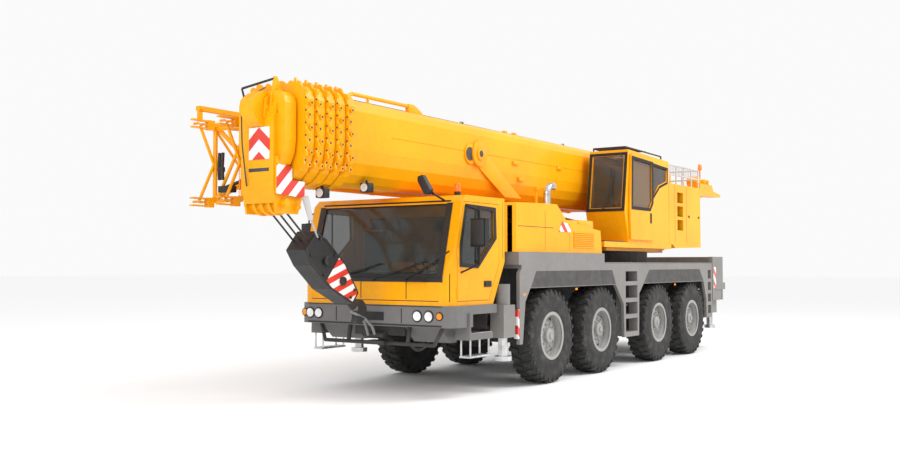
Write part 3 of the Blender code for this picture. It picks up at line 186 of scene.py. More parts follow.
def sprayed(name, colour, roughness=0.32, coat=0.12, dust=0.35, peel=0.12, black_zone=None):
    """Gloss paint with soft tone shifts, dusty towards the ground. black_zone darkens where it is over 0."""
    made, tree, shader, place = finish_nodes(name, roughness, coat=coat)
    shader.inputs["Specular IOR Level"].default_value = 0.22
    lighter = tuple(min(1.0, c * 1.06) for c in colour)
    darker = tuple(c * 0.88 for c in colour)
    tone = ramp(tree, noise(tree, place, 0.9, 4.0), [(0.32, darker), (0.68, lighter)])
    fine = ramp(tree, noise(tree, place, 14.0, 5.0), [(0.35, (0.90, 0.90, 0.90)), (0.65, (1.0, 1.0, 1.0))])
    tone = mixed(tree, 0.6, tone, fine, "MULTIPLY")
    x, y, z = axes_of(tree, place)
    low = reckon(tree, "SUBTRACT", 1.35, z)
    low = reckon(tree, "MULTIPLY", low, noise(tree, place, 5.0, 6.0))
    low = reckon(tree, "MULTIPLY", low, dust)
    low = reckon(tree, "MINIMUM", reckon(tree, "MAXIMUM", low, 0.0), 0.6)
    tone = mixed(tree, low, tone, (0.20, 0.17, 0.13))
    if black_zone:
        tone = mixed(tree, black_zone(tree, x, y, z), tone, (0.012, 0.012, 0.013))
    tree.links.new(tone, shader.inputs["Base Color"])
    rough = reckon(tree, "MULTIPLY_ADD", noise(tree, place, 6.0, 4.0), 0.16, roughness - 0.06)
    tree.links.new(rough, shader.inputs["Roughness"])
    bump(tree, shader, noise(tree, place, 160.0, 2.0), peel, 0.0006)
    return made


def moulded(name, colour, roughness=0.6, scale=220.0, strength=0.25, metallic=0.0):
    """Grained plastic, rubber or plain dark iron: speckled tone and a fine bump."""
    made, tree, shader, place = finish_nodes(name, roughness, metallic)
    darker = tuple(c * 0.72 for c in colour)
    lighter = tuple(min(1.0, c * 1.3) for c in colour)
    tone = ramp(tree, noise(tree, place, 7.0, 6.0), [(0.3, darker), (0.7, lighter)])
    tree.links.new(tone, shader.inputs["Base Color"])
    rough = reckon(tree, "MULTIPLY_ADD", noise(tree, place, 11.0, 4.0), 0.24, roughness - 0.1)
    tree.links.new(rough, shader.inputs["Roughness"])
    bump(tree, shader, noise(tree, place, scale, 3.0), strength, 0.001)
    return made


def dress(node, *finishes):
    """Gives a carried-over node its finishes."""
    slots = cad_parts[node].data.materials
    slots.clear()
    for made in finishes:
        slots.append(made)


SLOT_FINISHES = {
    "crane_yellow": ("crane_yellow_gloss", "amber_lens", "beacon_lens", "cab_glass"),
    "frame_grey": ("deck_grey_satin", "light_grey_gloss", "warning_bars_side", "rim_silver_grey"),
    "chassis_dark": ("black_moulding", "chassis_iron", "charcoal_panel", "seal_rubber", "rope_wire"),
    "bright_steel": ("bright_steel",),
    "seat_cloth": ("seat_weave",),
}
USUAL_SLOT = {name: slot for slot, names in SLOT_FINISHES.items() for name in names}


def finish_shape(shape, name, finish, body="carrier", slot=None, bevel=0.0, smooth=False):
    """Turns a bmesh into a piece that rides on a body. A bevel rounds every edge sharper than 35 degrees."""
    # Blender adds .001 to a finish's name when the frame already holds one of that name.
    slot = slot or USUAL_SLOT[finish.name.partition(".")[0]]
    if bevel:
        edges = [e for e in shape.edges if len(e.link_faces) == 2 and e.calc_face_angle() > math.radians(35)]
        bmesh.ops.bevel(shape, geom=edges, offset=bevel, segments=2, profile=0.5, affect="EDGES", material=-1)
    bmesh.ops.recalc_face_normals(shape, faces=shape.faces[:])
    mesh = bpy.data.meshes.new(name)
    shape.to_mesh(mesh)
    shape.free()
    if smooth:
        mesh.shade_smooth()
        mesh.set_sharp_from_angle(angle=math.radians(38))
    mesh.materials.append(finish)
    piece = bpy.data.objects.new(name, mesh)
    bpy.context.scene.collection.objects.link(piece)
    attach(piece, body)
    return piece


def block(shape, low, high):
    """A box between two corners."""
    low, high = Vector(low), Vector(high)
    size = high - low
    spot = Matrix.Translation((low + high) / 2) @ Matrix.Diagonal(
        (abs(size.x), abs(size.y), abs(size.z), 1.0)
    )
    return bmesh.ops.create_cube(shape, size=1.0, matrix=spot)["verts"]


def bar(shape, start, end, radius, sides=10, end_radius=None):
    """A round bar or cone between two points."""
    start, end = Vector(start), Vector(end)
    turn = (end - start).to_track_quat("Z", "Y").to_matrix().to_4x4()
    spot = Matrix.Translation((start + end) / 2) @ turn
    last = radius if end_radius is None else end_radius
    return bmesh.ops.create_cone(
        shape, cap_ends=True, segments=sides, radius1=radius, radius2=last, depth=(end - start).length,
        matrix=spot
    )["verts"]


def bent_bar(shape, points, radius, sides=8):
    """A tube through several points, with a ball at each bend."""
    for start, end in zip(points, points[1:]):
        bar(shape, start, end, radius, sides)
    for spot in points[1:-1]:
        bmesh.ops.create_icosphere(
            shape, subdivisions=1, radius=radius * 1.02, matrix=Matrix.Translation(spot)
        )


def plate(shape, outline, thickness):
    """A flat plate from its outline, thickened along the given vector."""
    face = shape.faces.new([shape.verts.new(point) for point in outline])
    grown = bmesh.ops.extrude_face_region(shape, geom=[face])["geom"]
    moved = [v for v in grown if isinstance(v, bmesh.types.BMVert)]
    bmesh.ops.translate(shape, vec=Vector(thickness), verts=moved)


def close_ring(shape, rows):
    """Joins rows of four points, each round one corner, into a closed ring."""
    for row, following in zip(rows, rows[1:] + rows[:1]):
        for j in range(4):
            shape.faces.new((row[j], row[(j + 1) % 4], following[(j + 1) % 4], following[j]))


def spun(shape, outline, steps, axis=(1, 0, 0)):
    """Sweeps an outline once round an axis through the origin."""
    bmesh.ops.spin(
        shape, geom=outline, cent=(0, 0, 0), axis=axis, dvec=(0, 0, 0), angle=math.tau, steps=steps,
        use_merge=True
    )


yellow = sprayed("crane_yellow_gloss", (0.95, 0.40, 0.002))
grey = sprayed("deck_grey_satin", (0.235, 0.225, 0.215), roughness=0.45, coat=0.15, dust=0.25)
bumper_grey = sprayed("bumper_grey_satin", (0.17, 0.17, 0.17), roughness=0.5, coat=0.1)
iron = moulded("chassis_iron", (0.035, 0.034, 0.033), 0.62, 60.0, 0.3)
black = moulded("black_moulding", (0.013, 0.013, 0.014), 0.48)
charcoal = moulded("charcoal_panel", (0.055, 0.052, 0.050), 0.55)
rubber = moulded("seal_rubber", (0.010, 0.010, 0.010), 0.7, 90.0, 0.2)
steel = moulded("bright_steel", (0.55, 0.55, 0.56), 0.26, 300.0, 0.06, metallic=1.0)
light_grey = sprayed("light_grey_gloss", (0.52, 0.52, 0.52), roughness=0.4)
amber = moulded("amber_lens", (0.95, 0.26, 0.01), 0.18, 120.0, 0.1)


# Chassis, axles and outriggers
# Welded box frame in dark iron grey. The fairings, deck and beams are satin grey over it, with dark
# fender plates screwed on behind each pair of wheels.

for node in ("carrier_frame", "slewing_ring", "engine_block", "axle_1", "axle_2", "axle_3", "axle_4"):
    dress(node, iron)
for number in range(1, 5):
    for hand in ("left", "right"):
        dress(f"knuckle_{number}_{hand}", iron)
for node in ("deck", "rear_bulkhead", "left_fairing", "right_fairing"):
    dress(node, grey)
for corner in ("front_left", "front_right", "rear_left", "rear_right"):
    dress(f"{corner}_outrigger", grey)
    dress(f"{corner}_jack", steel)
dress("front_bumper", bumper_grey)

# Lengths below are counted from the first axle, which lies this far ahead of the middle.
AHEAD = 1.44
SIDES = ((1, "left"), (-1, "right"))


def at(x, y, z):
    return Vector((x, y - AHEAD, z))


FENDER_TOP, FENDER_FOOT = 1.625, 1.392
for side, hand in SIDES:
    skin = side * 1.3752
    fenders = bmesh.new()
    for front, rear, low_front, low_rear in ((-0.49, 2.03, -0.65, 2.17), (3.55, 6.05, 3.30, 6.27)):
        outline = [(front, FENDER_TOP), (rear, FENDER_TOP), (low_rear, FENDER_FOOT), (low_front, FENDER_FOOT)]
        plate(fenders, [at(skin, y, z) for y, z in outline], (-side * 0.012, 0, 0))
    finish_shape(fenders, f"fender_plates_{hand}", charcoal, slot="frame_grey", bevel=0.002)

    trim = bmesh.new()
    for y, z in ((-0.82, 1.30), (0.75, 1.345), (4.75, 1.345)):
        block(trim, at(side * 1.3735, y - 0.035, z - 0.015), at(side * 1.3765, y + 0.035, z + 0.015))
    finish_shape(trim, f"side_markers_{hand}", amber)

    ledge = bmesh.new()
    block(ledge, at(side * 1.345, -0.88, 1.732), at(side * 1.374, 6.75, 1.748))
    for y in (-0.5, 0.6, 1.7, 2.8, 3.9, 5.0, 6.1):
        bar(ledge, at(side * 1.36, y, 1.746), at(side * 1.36, y, 1.756), 0.012, 6)
    finish_shape(ledge, f"deck_edge_{hand}", grey, bevel=0.003)


WARNING_RED = (0.72, 0.035, 0.02)
WARNING_WHITE = (0.86, 0.86, 0.85)


def reflective(name, roughness, pitch, slant_of):
    """Reflective sheet printed in red and white bars, with a faint cell pattern."""
    made, tree, shader, place = finish_nodes(name, roughness, coat=0.3)
    slant = slant_of(tree, *axes_of(tree, place))
    edge = reckon(tree, "GREATER_THAN", reckon(tree, "FRACT", reckon(tree, "DIVIDE", slant, pitch)), 0.5)
    cells = ramp(tree, noise(tree, place, 60.0, 2.0), [(0.3, (0.86, 0.86, 0.86)), (0.7, (1.0, 1.0, 1.0))])
    tone = mixed(tree, 0.7, mixed(tree, edge, WARNING_RED, WARNING_WHITE), cells, "MULTIPLY")
    tree.links.new(tone, shader.inputs["Base Color"])
    bump(tree, shader, noise(tree, place, 400.0, 1.0), 0.1, 0.0005)
    return made


def barred(name, pitch, slope=1.0):
    """Parallel bars that slant along the machine."""
    def slant(tree, x, y, z):
        return reckon(tree, "ADD", z, reckon(tree, "MULTIPLY", y, slope))
    return reflective(name, 0.38, pitch, slant)


warning_side = barred("warning_bars_side", 0.24)


# Front corner boards
# Small sheet-metal boards beside the front jacks and at the rear, faced with red and white bars.

for side, hand in SIDES:
    board = bmesh.new()
    block(board, at(side * 1.31, -1.003, 0.70), at(side * 1.372, -0.915, 1.10))
    finish_shape(board, f"corner_board_{hand}", warning_side, bevel=0.003)
    rear_board = bmesh.new()
    block(rear_board, at(side * 1.372, 6.86, 1.24), at(side * 1.3765, 7.0, 1.66))
    block(rear_board, at(side * 0.75, 7.418, 1.42), at(side * 1.30, 7.424, 1.70))
    finish_shape(rear_board, f"rear_board_{hand}", warning_side, bevel=0.001)

tail = bmesh.new()
for side in (1, -1):
    for x, wide in ((1.20, 0.09), (1.02, 0.07)):
        bar(tail, at(side * x, 7.555, 1.27), at(side * x, 7.585, 1.27), wide * 0.5, 16)
finish_shape(
    tail, "tail_lamps", moulded("tail_lens", (0.55, 0.01, 0.01), 0.2, 120.0, 0.1), slot="frame_grey",
    bevel=0.004
)


# Wheels
# Wide all-terrain tyres: a carcass with rounded shoulders and block lugs cut right across the
# crown, on dished pressed-steel rims held by a ring of ten nuts round a hub cap.

TYRE_RADIUS = 0.6845
TYRE_HALF = 0.1875
WHEEL_CENTRE_X, WHEEL_CENTRE_Z = 1.1875, 0.685
AXLE_PLACES = (0.0, 1.65, 4.0, 5.65)
LUGS = 30
NUTS = 10


def cord_rubber(name):
    """Black rubber, dusty in its grooves, with fine moulding lines round the sidewall."""
    made, tree, shader, place = finish_nodes(name, 0.78)
    tone = ramp(
        tree, noise(tree, place, 9.0, 6.0),
        [(0.3, (0.012, 0.012, 0.012)), (0.55, (0.028, 0.027, 0.026)), (0.78, (0.07, 0.062, 0.052))]
    )
    tree.links.new(tone, shader.inputs["Base Color"])
    bump(tree, shader, noise(tree, place, 120.0, 4.0), 0.35, 0.0015)
    return made


tyre_rubber = cord_rubber("tyre_rubber_dusty")
rim_paint = sprayed("rim_silver_grey", (0.34, 0.34, 0.33), roughness=0.42, coat=0.1, dust=0.25)


def turned(shape, profile, steps):
    """Spins a (distance along X, radius) profile into a closed ring or disc round the X axis."""
    spots = [shape.verts.new((along, 0.0, radius)) for along, radius in profile]
    edges = [shape.edges.new(pair) for pair in zip(spots, spots[1:])]
    spun(shape, spots + edges, steps)


def make_tyre():
    shape = bmesh.new()
    half = TYRE_HALF
    side_wall = [
        (half - 0.022, 0.345), (half - 0.006, 0.37), (half - 0.001, 0.42), (half - 0.0005, 0.50),
        (half - 0.004, 0.56),
        (half - 0.012, 0.60), (half - 0.020, 0.632), (half - 0.036, 0.652), (half - 0.07, 0.661),
    ]
    profile = [(half - 0.05, 0.33)] + side_wall + [(0.0, 0.663)]
    profile += [(-along, radius) for along, radius in reversed(side_wall)] + [
        (-half + 0.05, 0.33), (half - 0.05, 0.33)
    ]
    turned(shape, profile, 96)
    bmesh.ops.remove_doubles(shape, verts=shape.verts[:], dist=0.0004)
    for radius in (0.47, 0.525):
        for side in (1, -1):
            section = ((half - 0.004, -0.004), (half, -0.002), (half, 0.002), (half - 0.004, 0.004))
            ring = [(side * along, radius + rise) for along, rise in section]
            turned(shape, ring + ring[:1], 72)
    for step in range(LUGS):
        angle = step * math.tau / LUGS
        for side in (1, -1):
            lug = bmesh.ops.create_cube(shape, size=1.0)["verts"]
            bmesh.ops.scale(shape, vec=(0.150, 0.072, 0.036), verts=lug)
            for spot in lug:
                if spot.co.x * side > 0:
                    spot.co.z -= 0.008
                    spot.co.y *= 0.86
            bmesh.ops.rotate(shape, cent=(0, 0, 0), matrix=Matrix.Rotation(side * 0.32, 3, "Z"), verts=lug)
            bmesh.ops.translate(shape, vec=(side * 0.092, 0, TYRE_RADIUS - 0.0205), verts=lug)
            turn = Matrix.Rotation(angle + (math.tau / LUGS / 2 if side > 0 else 0), 3, "X")
            bmesh.ops.rotate(shape, cent=(0, 0, 0), matrix=turn, verts=lug)
            shoulder = bmesh.ops.create_cube(shape, size=1.0)["verts"]
            bmesh.ops.scale(shape, vec=(0.026, 0.05, 0.055), verts=shoulder)
            bmesh.ops.translate(shape, vec=(side * (half - 0.0195), 0, 0.634), verts=shoulder)
            bmesh.ops.rotate(shape, cent=(0, 0, 0), matrix=turn, verts=shoulder)
    bmesh.ops.recalc_face_normals(shape, faces=shape.faces[:])
    return shape


def make_rim():
    """Rim with its outer face towards +X: flange, dish, hand holes, nuts and hub cap."""
    shape = bmesh.new()
    profile = [
        (0.175, 0.30), (0.178, 0.347), (0.160, 0.350), (0.158, 0.325), (0.120, 0.305), (0.060, 0.300),
        (0.040, 0.275),
        (0.085, 0.235), (0.098, 0.20), (0.098, 0.150), (0.086, 0.145), (0.088, 0.11), (0.135, 0.105),
        (0.150, 0.085), (0.152, 0.0),
    ]
    turned(shape, profile, 48)
    turned(shape, [(-0.175, 0.30), (-0.178, 0.345), (-0.16, 0.35), (-0.05, 0.30), (0.02, 0.27)], 48)
    for step in range(NUTS):
        angle = step * math.tau / NUTS
        spot = Vector((0.0, math.sin(angle) * 0.172, math.cos(angle) * 0.172))
        bar(shape, spot + Vector((0.096, 0, 0)), spot + Vector((0.122, 0, 0)), 0.016, 6)
        bar(shape, spot + Vector((0.12, 0, 0)), spot + Vector((0.135, 0, 0)), 0.008, 8)
    bar(shape, (0.150, 0, 0), (0.168, 0, 0), 0.045, 12)
    bmesh.ops.remove_doubles(shape, verts=shape.verts[:], dist=0.0004)
    bmesh.ops.recalc_face_normals(shape, faces=shape.faces[:])
    return shape


def copied(source, turn):
    grown = source.copy()
    bmesh.ops.transform(grown, matrix=turn, verts=grown.verts[:])
    return grown


tyre_shape, rim_shape = make_tyre(), make_rim()
hole_shape = bmesh.new()
for step in range(NUTS):
    angle = (step + 0.5) * math.tau / NUTS
    spot = Vector((0.0, math.sin(angle) * 0.262, math.cos(angle) * 0.262))
    bar(hole_shape, spot + Vector((0.050, 0, 0)), spot + Vector((0.062, 0, 0)), 0.023, 14)
for number, y in enumerate(AXLE_PLACES, 1):
    for side, hand in SIDES:
        spot = Matrix.Translation(at(side * WHEEL_CENTRE_X, y, WHEEL_CENTRE_Z)) @ Matrix.Rotation(
            0.0 if side > 0 else math.pi, 4, "Z"
        )
        spot = spot @ Matrix.Rotation(number * 0.37, 4, "X")
        body = f"tyre_{number}_{hand}"
        tyre = finish_shape(
            copied(tyre_shape, spot), f"tyre_{number}_{hand}_tread", tyre_rubber, body, "tyre_rubber",
            smooth=True
        )
        finish_shape(copied(rim_shape, spot), f"rim_{number}_{hand}", rim_paint, body, smooth=True)
        finish_shape(copied(hole_shape, spot), f"rim_holes_{number}_{hand}", black, body)
        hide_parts(f"wheel_{number}_{hand}")
tyre_shape.free()
rim_shape.free()
hole_shape.free()


# Driver's cab
# Pressed-steel cab over a grey bumper. Bonded tinted panes stand in thick black gaskets, with three
# parallel wipers at the windscreen's foot and a moulded mirror on each door.

def beyond_mirror(tree, x, y, z):
    return reckon(tree, "GREATER_THAN", reckon(tree, "ABSOLUTE", x), 1.2535)


door_finish = sprayed("door_yellow_gloss", (0.95, 0.40, 0.002), black_zone=beyond_mirror)
dress("driver_cab", yellow)
dress("left_cab_door", door_finish)
dress("right_cab_door", door_finish)


def tinted(name, colour, alpha):
    made, tree, shader, place = finish_nodes(name, 0.04, coat=0.5)
    tone = ramp(tree, noise(tree, place, 1.5, 3.0), [(0.3, tuple(c * 0.8 for c in colour)), (0.7, colour)])
    tree.links.new(tone, shader.inputs["Base Color"])
    shader.inputs["Alpha"].default_value = alpha
    bump(tree, shader, noise(tree, place, 2.2, 2.0), 0.03, 0.004)
    return made


glass = tinted("cab_glass", (0.05, 0.065, 0.065), 0.42)


def gasket(shape, outline, inset, thickness):
    """A rubber surround: a flat ring that follows the outline, thickened along the given vector."""
    points = [Vector(point) for point in outline]
    middle = sum(points, Vector()) / len(points)
    normal = (points[1] - points[0]).cross(points[2] - points[1]).normalized()
    rows = []
    for i, here in enumerate(points):
        before = normal.cross((here - points[i - 1]).normalized())
        after = normal.cross((points[(i + 1) % len(points)] - here).normalized())
        inward = (before + after) / (1 + before.dot(after))
        if inward.dot(middle - here) < 0:
            inward = -inward
        inner = here + inward * inset
        grown = Vector(thickness)
        rows.append([shape.verts.new(point) for point in (here, inner, inner + grown, here + grown)])
    close_ring(shape, rows)


SCREEN_FOOT, SCREEN_LEAN = -2.458, (-2.20 + 2.455) / (2.52 - 1.58)


def screen(x, z, out=0.0):
    """A point on the windscreen's plane at that height."""
    return at(x, SCREEN_FOOT + SCREEN_LEAN * (z - 1.58) - out, z)


panes = bmesh.new()
plate(
    panes,
    [
        screen(-1.06, 1.57, -0.02), screen(1.06, 1.57, -0.02), screen(1.04, 2.51, -0.02),
        screen(-1.04, 2.51, -0.02)
    ],
    (0, 0.006, 0)
)
block(panes, at(-0.86, -1.176, 1.745), at(0.86, -1.17, 2.405))
finish_shape(panes, "cab_panes", glass)

seals = bmesh.new()
gasket(
    seals,
    [
        screen(-1.10, 1.535, 0.0), screen(1.10, 1.535, 0.0), screen(1.075, 2.545, 0.0),
        screen(-1.075, 2.545, 0.0)
    ],
    0.062, (0, 0.022, 0)
)
block(seals, at(-0.90, -1.152, 1.72), at(0.90, -1.142, 1.75))
block(seals, at(-0.90, -1.152, 2.40), at(0.90, -1.142, 2.43))
for side in (1, -1):
    block(seals, at(side * 0.87, -1.152, 1.72), at(side * 0.90, -1.142, 2.43))
finish_shape(seals, "screen_gasket", rubber, bevel=0.003)

wipers = bmesh.new()
for foot, tip in (((-0.78, 1.52), (-0.10, 1.66)), ((0.02, 1.52), (0.62, 1.68)), ((0.55, 1.52), (0.98, 1.75))):
    bar(wipers, screen(foot[0], foot[1], 0.012), screen(foot[0], foot[1], -0.03), 0.022, 10)
    bar(wipers, screen(foot[0], foot[1] + 0.01, 0.010), screen(tip[0], tip[1], 0.012), 0.009, 6)
    along = Vector((tip[0] - foot[0], 0, tip[1] - foot[1])).normalized()
    middle = Vector((tip[0], 0, tip[1]))
    ends = [middle - along * 0.30 + Vector((0, 0, -0.01)), middle + along * 0.22 + Vector((0, 0, 0.03))]
    bar(wipers, screen(ends[0].x, max(ends[0].z, 1.60), 0.003), screen(ends[1].x, ends[1].z, 0.003), 0.010, 6)
finish_shape(wipers, "windscreen_wipers", black)

for side, hand in SIDES:
    body = f"{hand}_door_body"
    face = side * 1.2506
    window = [(-2.22, 1.72), (-1.84, 1.70), (-1.40, 2.08), (-1.42, 2.44), (-2.10, 2.46), (-2.22, 1.98)]
    pane = bmesh.new()
    plate(pane, [at(side * 1.232, y, z) for y, z in window], (-side * 0.005, 0, 0))
    finish_shape(pane, f"door_pane_{hand}", glass, body)
    seal = bmesh.new()
    grown = [
        (-2.255, 1.685), (-1.825, 1.665), (-1.365, 2.06), (-1.385, 2.475), (-2.125, 2.495), (-2.255, 1.975)
    ]
    gasket(seal, [at(face, y, z) for y, z in grown], 0.052, (side * 0.008, 0, 0))
    bar(seal, at(face + side * 0.004, -1.82, 1.69), at(face + side * 0.004, -1.82, 2.47), 0.013, 6)
    finish_shape(seal, f"door_gasket_{hand}", rubber, body)
    grip = bmesh.new()
    block(grip, at(side * 1.250, -1.68, 1.42), at(side * 1.262, -1.50, 1.50))
    block(grip, at(side * 1.262, -1.66, 1.45), at(side * 1.274, -1.52, 1.475))
    finish_shape(grip, f"door_grip_{hand}", black, body, bevel=0.004)
    shell = bmesh.new()
    block(shell, at(side * 1.335, -2.165, 1.93), at(side * 1.5595, -2.045, 2.315))
    for vert in shell.verts:
        if vert.co.y < -2.1 - AHEAD:
            vert.co.z = 2.12 + (vert.co.z - 2.12) * 0.82
            vert.co.x = side * 1.45 + (vert.co.x - side * 1.45) * 0.86
    finish_shape(shell, f"mirror_shell_{hand}", black, body, bevel=0.02, smooth=True)
    mirror = bmesh.new()
    block(mirror, at(side * 1.355, -2.044, 1.95), at(side * 1.54, -2.040, 2.295))
    finish_shape(mirror, f"mirror_face_{hand}", steel, body, bevel=0.001)

lamps = bmesh.new()
rings = bmesh.new()
ambers = bmesh.new()
BUMPER_FRONT = -2.466
for side in (1, -1):
    for x in (0.93, 1.08) if side < 0 else (0.74, 0.92):
        spot = at(side * x, BUMPER_FRONT, 1.055)
        bar(rings, spot + Vector((0, 0.01, 0)), spot - Vector((0, 0.010, 0)), 0.078, 24)
        bar(lamps, spot - Vector((0, 0.008, 0)), spot - Vector((0, 0.014, 0)), 0.060, 24)
    spot = at(-1.19 if side < 0 else 1.085, BUMPER_FRONT + (0.012 if side < 0 else 0), 1.06)
    bar(rings, spot + Vector((0, 0.01, 0)), spot - Vector((0, 0.008, 0)), 0.056, 20)
    bar(ambers, spot - Vector((0, 0.007, 0)), spot - Vector((0, 0.014, 0)), 0.042, 20)
finish_shape(rings, "lamp_rings", black, bevel=0.004, smooth=True)
finish_shape(
    lamps, "headlamps", moulded("lamp_lens", (0.75, 0.77, 0.78), 0.12, 90.0, 0.25), slot="bright_steel",
    bevel=0.003, smooth=True
)
finish_shape(ambers, "turn_lamps", amber, bevel=0.003, smooth=True)

front_plate = bmesh.new()
block(front_plate, at(-0.34, BUMPER_FRONT - 0.006, 0.985), at(0.20, BUMPER_FRONT + 0.002, 1.095))
finish_shape(front_plate, "plate_recess", black, bevel=0.004)

band = bmesh.new()
block(band, at(-1.12, BUMPER_FRONT + 0.0015, 1.176), at(1.12, BUMPER_FRONT - 0.004, 1.186))
block(band, at(-1.12, BUMPER_FRONT + 0.0015, 0.925), at(1.12, BUMPER_FRONT - 0.004, 0.945))
for x in (-0.62, 0.48):
    block(band, at(x, BUMPER_FRONT + 0.0015, 0.96), at(x + 0.012, BUMPER_FRONT - 0.003, 1.15))
finish_shape(band, "bumper_seams", black)

grip_rails = bmesh.new()
for side in (1, -1):
    bent_bar(
        grip_rails,
        [
            screen(side * 0.88, 1.50, 0.0), screen(side * 0.88, 1.50, 0.035),
            screen(side * 0.58, 1.50, 0.035), screen(side * 0.58, 1.50, 0.0)
        ],
        0.010
    )
finish_shape(grip_rails, "front_grips", black, smooth=True)

seam = bmesh.new()
for side in (1, -1):
    block(seam, at(side * 1.2495, -1.205, 1.80), at(side * 1.2515, -1.199, 2.56))
block(seam, at(-0.20, -2.459, 1.27), at(-0.19, -2.4545, 1.50))
block(seam, at(0.55, -2.459, 1.27), at(0.56, -2.4545, 1.50))
block(seam, at(-1.06, -2.459, 1.245), at(1.06, -2.4545, 1.253))
finish_shape(seam, "panel_gaps", black)

beacon_finish = moulded("beacon_lens", (0.90, 0.22, 0.01), 0.15, 120.0, 0.1)
front_beacon = bmesh.new()
bar(front_beacon, at(0.86, -1.72, 2.605), at(0.86, -1.72, 2.69), 0.045, 20)
finish_shape(front_beacon, "cab_beacon_foot", black, bevel=0.004, smooth=True)
lens = bmesh.new()
bar(lens, at(0.86, -1.72, 2.688), at(0.86, -1.72, 2.80), 0.052, 20, 0.038)
finish_shape(lens, "cab_beacon", beacon_finish, bevel=0.008, smooth=True)

cowl = bmesh.new()
block(cowl, at(-1.12, -2.462, 1.49), at(1.12, -2.452, 1.575))
for side in (1, -1):
    pillar = [screen(side * 1.05, 1.57, 0.003), screen(side * 1.13, 1.57, 0.003)]
    pillar += [screen(side * 1.12, 2.51, 0.003), screen(side * 1.03, 2.51, 0.003)]
    plate(cowl, pillar, (0, -0.005, 0))
finish_shape(cowl, "screen_cowl", black, bevel=0.002)

top_mirror = bmesh.new()
bent_bar(top_mirror, [screen(0.98, 2.54, 0.0), at(0.95, -2.42, 2.62), at(0.90, -2.48, 2.70)], 0.012)
shell = [
    at(0.78, -2.53, 2.84), at(0.86, -2.53, 2.86), at(0.99, -2.53, 2.66), at(0.95, -2.53, 2.60),
    at(0.88, -2.53, 2.61), at(0.78, -2.53, 2.78)
]
plate(top_mirror, shell, (0, 0.08, 0))
finish_shape(top_mirror, "front_mirror", black, bevel=0.012, smooth=True)

steps = bmesh.new()
for side in (1, -1):
    block(steps, at(side * 1.14, -2.14, 0.832), at(side * 1.335, -1.62, 0.842))
    block(steps, at(side * 1.16, -2.13, 0.52), at(side * 1.32, -1.62, 0.545))
    for y in (-2.10, -1.66):
        bar(steps, at(side * 1.17, y, 0.54), at(side * 1.17, y, 0.76), 0.013, 8)
        bar(steps, at(side * 1.31, y, 0.54), at(side * 1.31, y, 0.76), 0.013, 8)
    for i in range(9):
        y = -2.10 + 0.055 * i
        block(steps, at(side * 1.17, y, 0.543), at(side * 1.31, y + 0.022, 0.549))
finish_shape(steps, "cab_steps", steel, bevel=0.002)

valance = bmesh.new()
bent_bar(
    valance, [at(-1.02, -2.30, 0.90), at(-0.92, -2.34, 0.68), at(0.92, -2.34, 0.68), at(1.02, -2.30, 0.90)],
    0.026
)
for x in (-0.5, 0.5):
    bar(valance, at(x, -2.30, 0.92), at(x, -2.34, 0.70), 0.03, 10)
bar(valance, at(-0.13, -2.36, 0.78), at(0.13, -2.36, 0.78), 0.045, 16)
block(valance, at(-0.16, -2.42, 0.66), at(0.16, -2.22, 0.71))
finish_shape(valance, "tow_gear", iron, smooth=True)


# Cab furniture
# A moulded dashboard with a steering wheel, and two sprung seats in woven cloth. The cushions are
# foam, crowned in the middle and drawn in at their edges.

def woven(name, colour):
    made, tree, shader, place = finish_nodes(name, 0.92)
    shader.inputs["Sheen Weight"].default_value = 0.3
    weave = tree.nodes.new("ShaderNodeTexWave")
    weave.inputs["Scale"].default_value = 90.0
    tree.links.new(place, weave.inputs["Vector"])
    cross = tree.nodes.new("ShaderNodeTexWave")
    cross.bands_direction = "Z"
    cross.inputs["Scale"].default_value = 90.0
    tree.links.new(place, cross.inputs["Vector"])
    threads = reckon(tree, "MULTIPLY", weave.outputs["Fac"], cross.outputs["Fac"])
    tone = ramp(tree, threads, [(0.1, tuple(c * 0.6 for c in colour)), (0.7, colour)])
    tree.links.new(tone, shader.inputs["Base Color"])
    bump(tree, shader, threads, 0.5, 0.0008)
    return made


cloth = woven("seat_weave", (0.06, 0.062, 0.075))


def cushion(shape, low, high):
    """A stuffed pad: a rounded block whose broad faces swell and whose sides draw in at mid length."""
    low, high = Vector(low), Vector(high)
    spots = block(shape, low, high)
    faces = {f for v in spots for f in v.link_faces}
    edges = {e for f in faces for e in f.edges}
    bmesh.ops.subdivide_edges(shape, edges=list(edges), cuts=7, use_grid_fill=True)
    centre, half = (low + high) / 2, (high - low) / 2
    half = Vector((abs(half.x), abs(half.y), abs(half.z)))
    thin = min(range(3), key=lambda i: half[i])
    wide = [i for i in range(3) if i != thin]
    moved = [v for v in shape.verts if not v.tag]
    for vert in moved:
        part = [(vert.co[i] - centre[i]) / half[i] for i in range(3)]
        swell = (1 - part[wide[0]] ** 2) * (1 - part[wide[1]] ** 2)
        vert.co[thin] = centre[thin] + part[thin] * half[thin] * (0.62 + 0.38 * swell)
        for i in wide:
            j = wide[1] if i == wide[0] else wide[0]
            vert.co[i] = centre[i] + part[i] * half[i] * (1 - 0.05 * (1 - part[j] ** 2)) * (
                1 - 0.06 * part[thin] ** 2
            )
        vert.tag = True


def seat_pad(name, low, high, body):
    """One stuffed pad of a seat, rounded by one level of subdivision."""
    shape = bmesh.new()
    cushion(shape, low, high)
    piece = finish_shape(shape, name, cloth, body, smooth=True)
    rounding = piece.modifiers.new("rounding", "SUBSURF")
    rounding.levels = 1
    rounding.render_levels = 1
    return piece


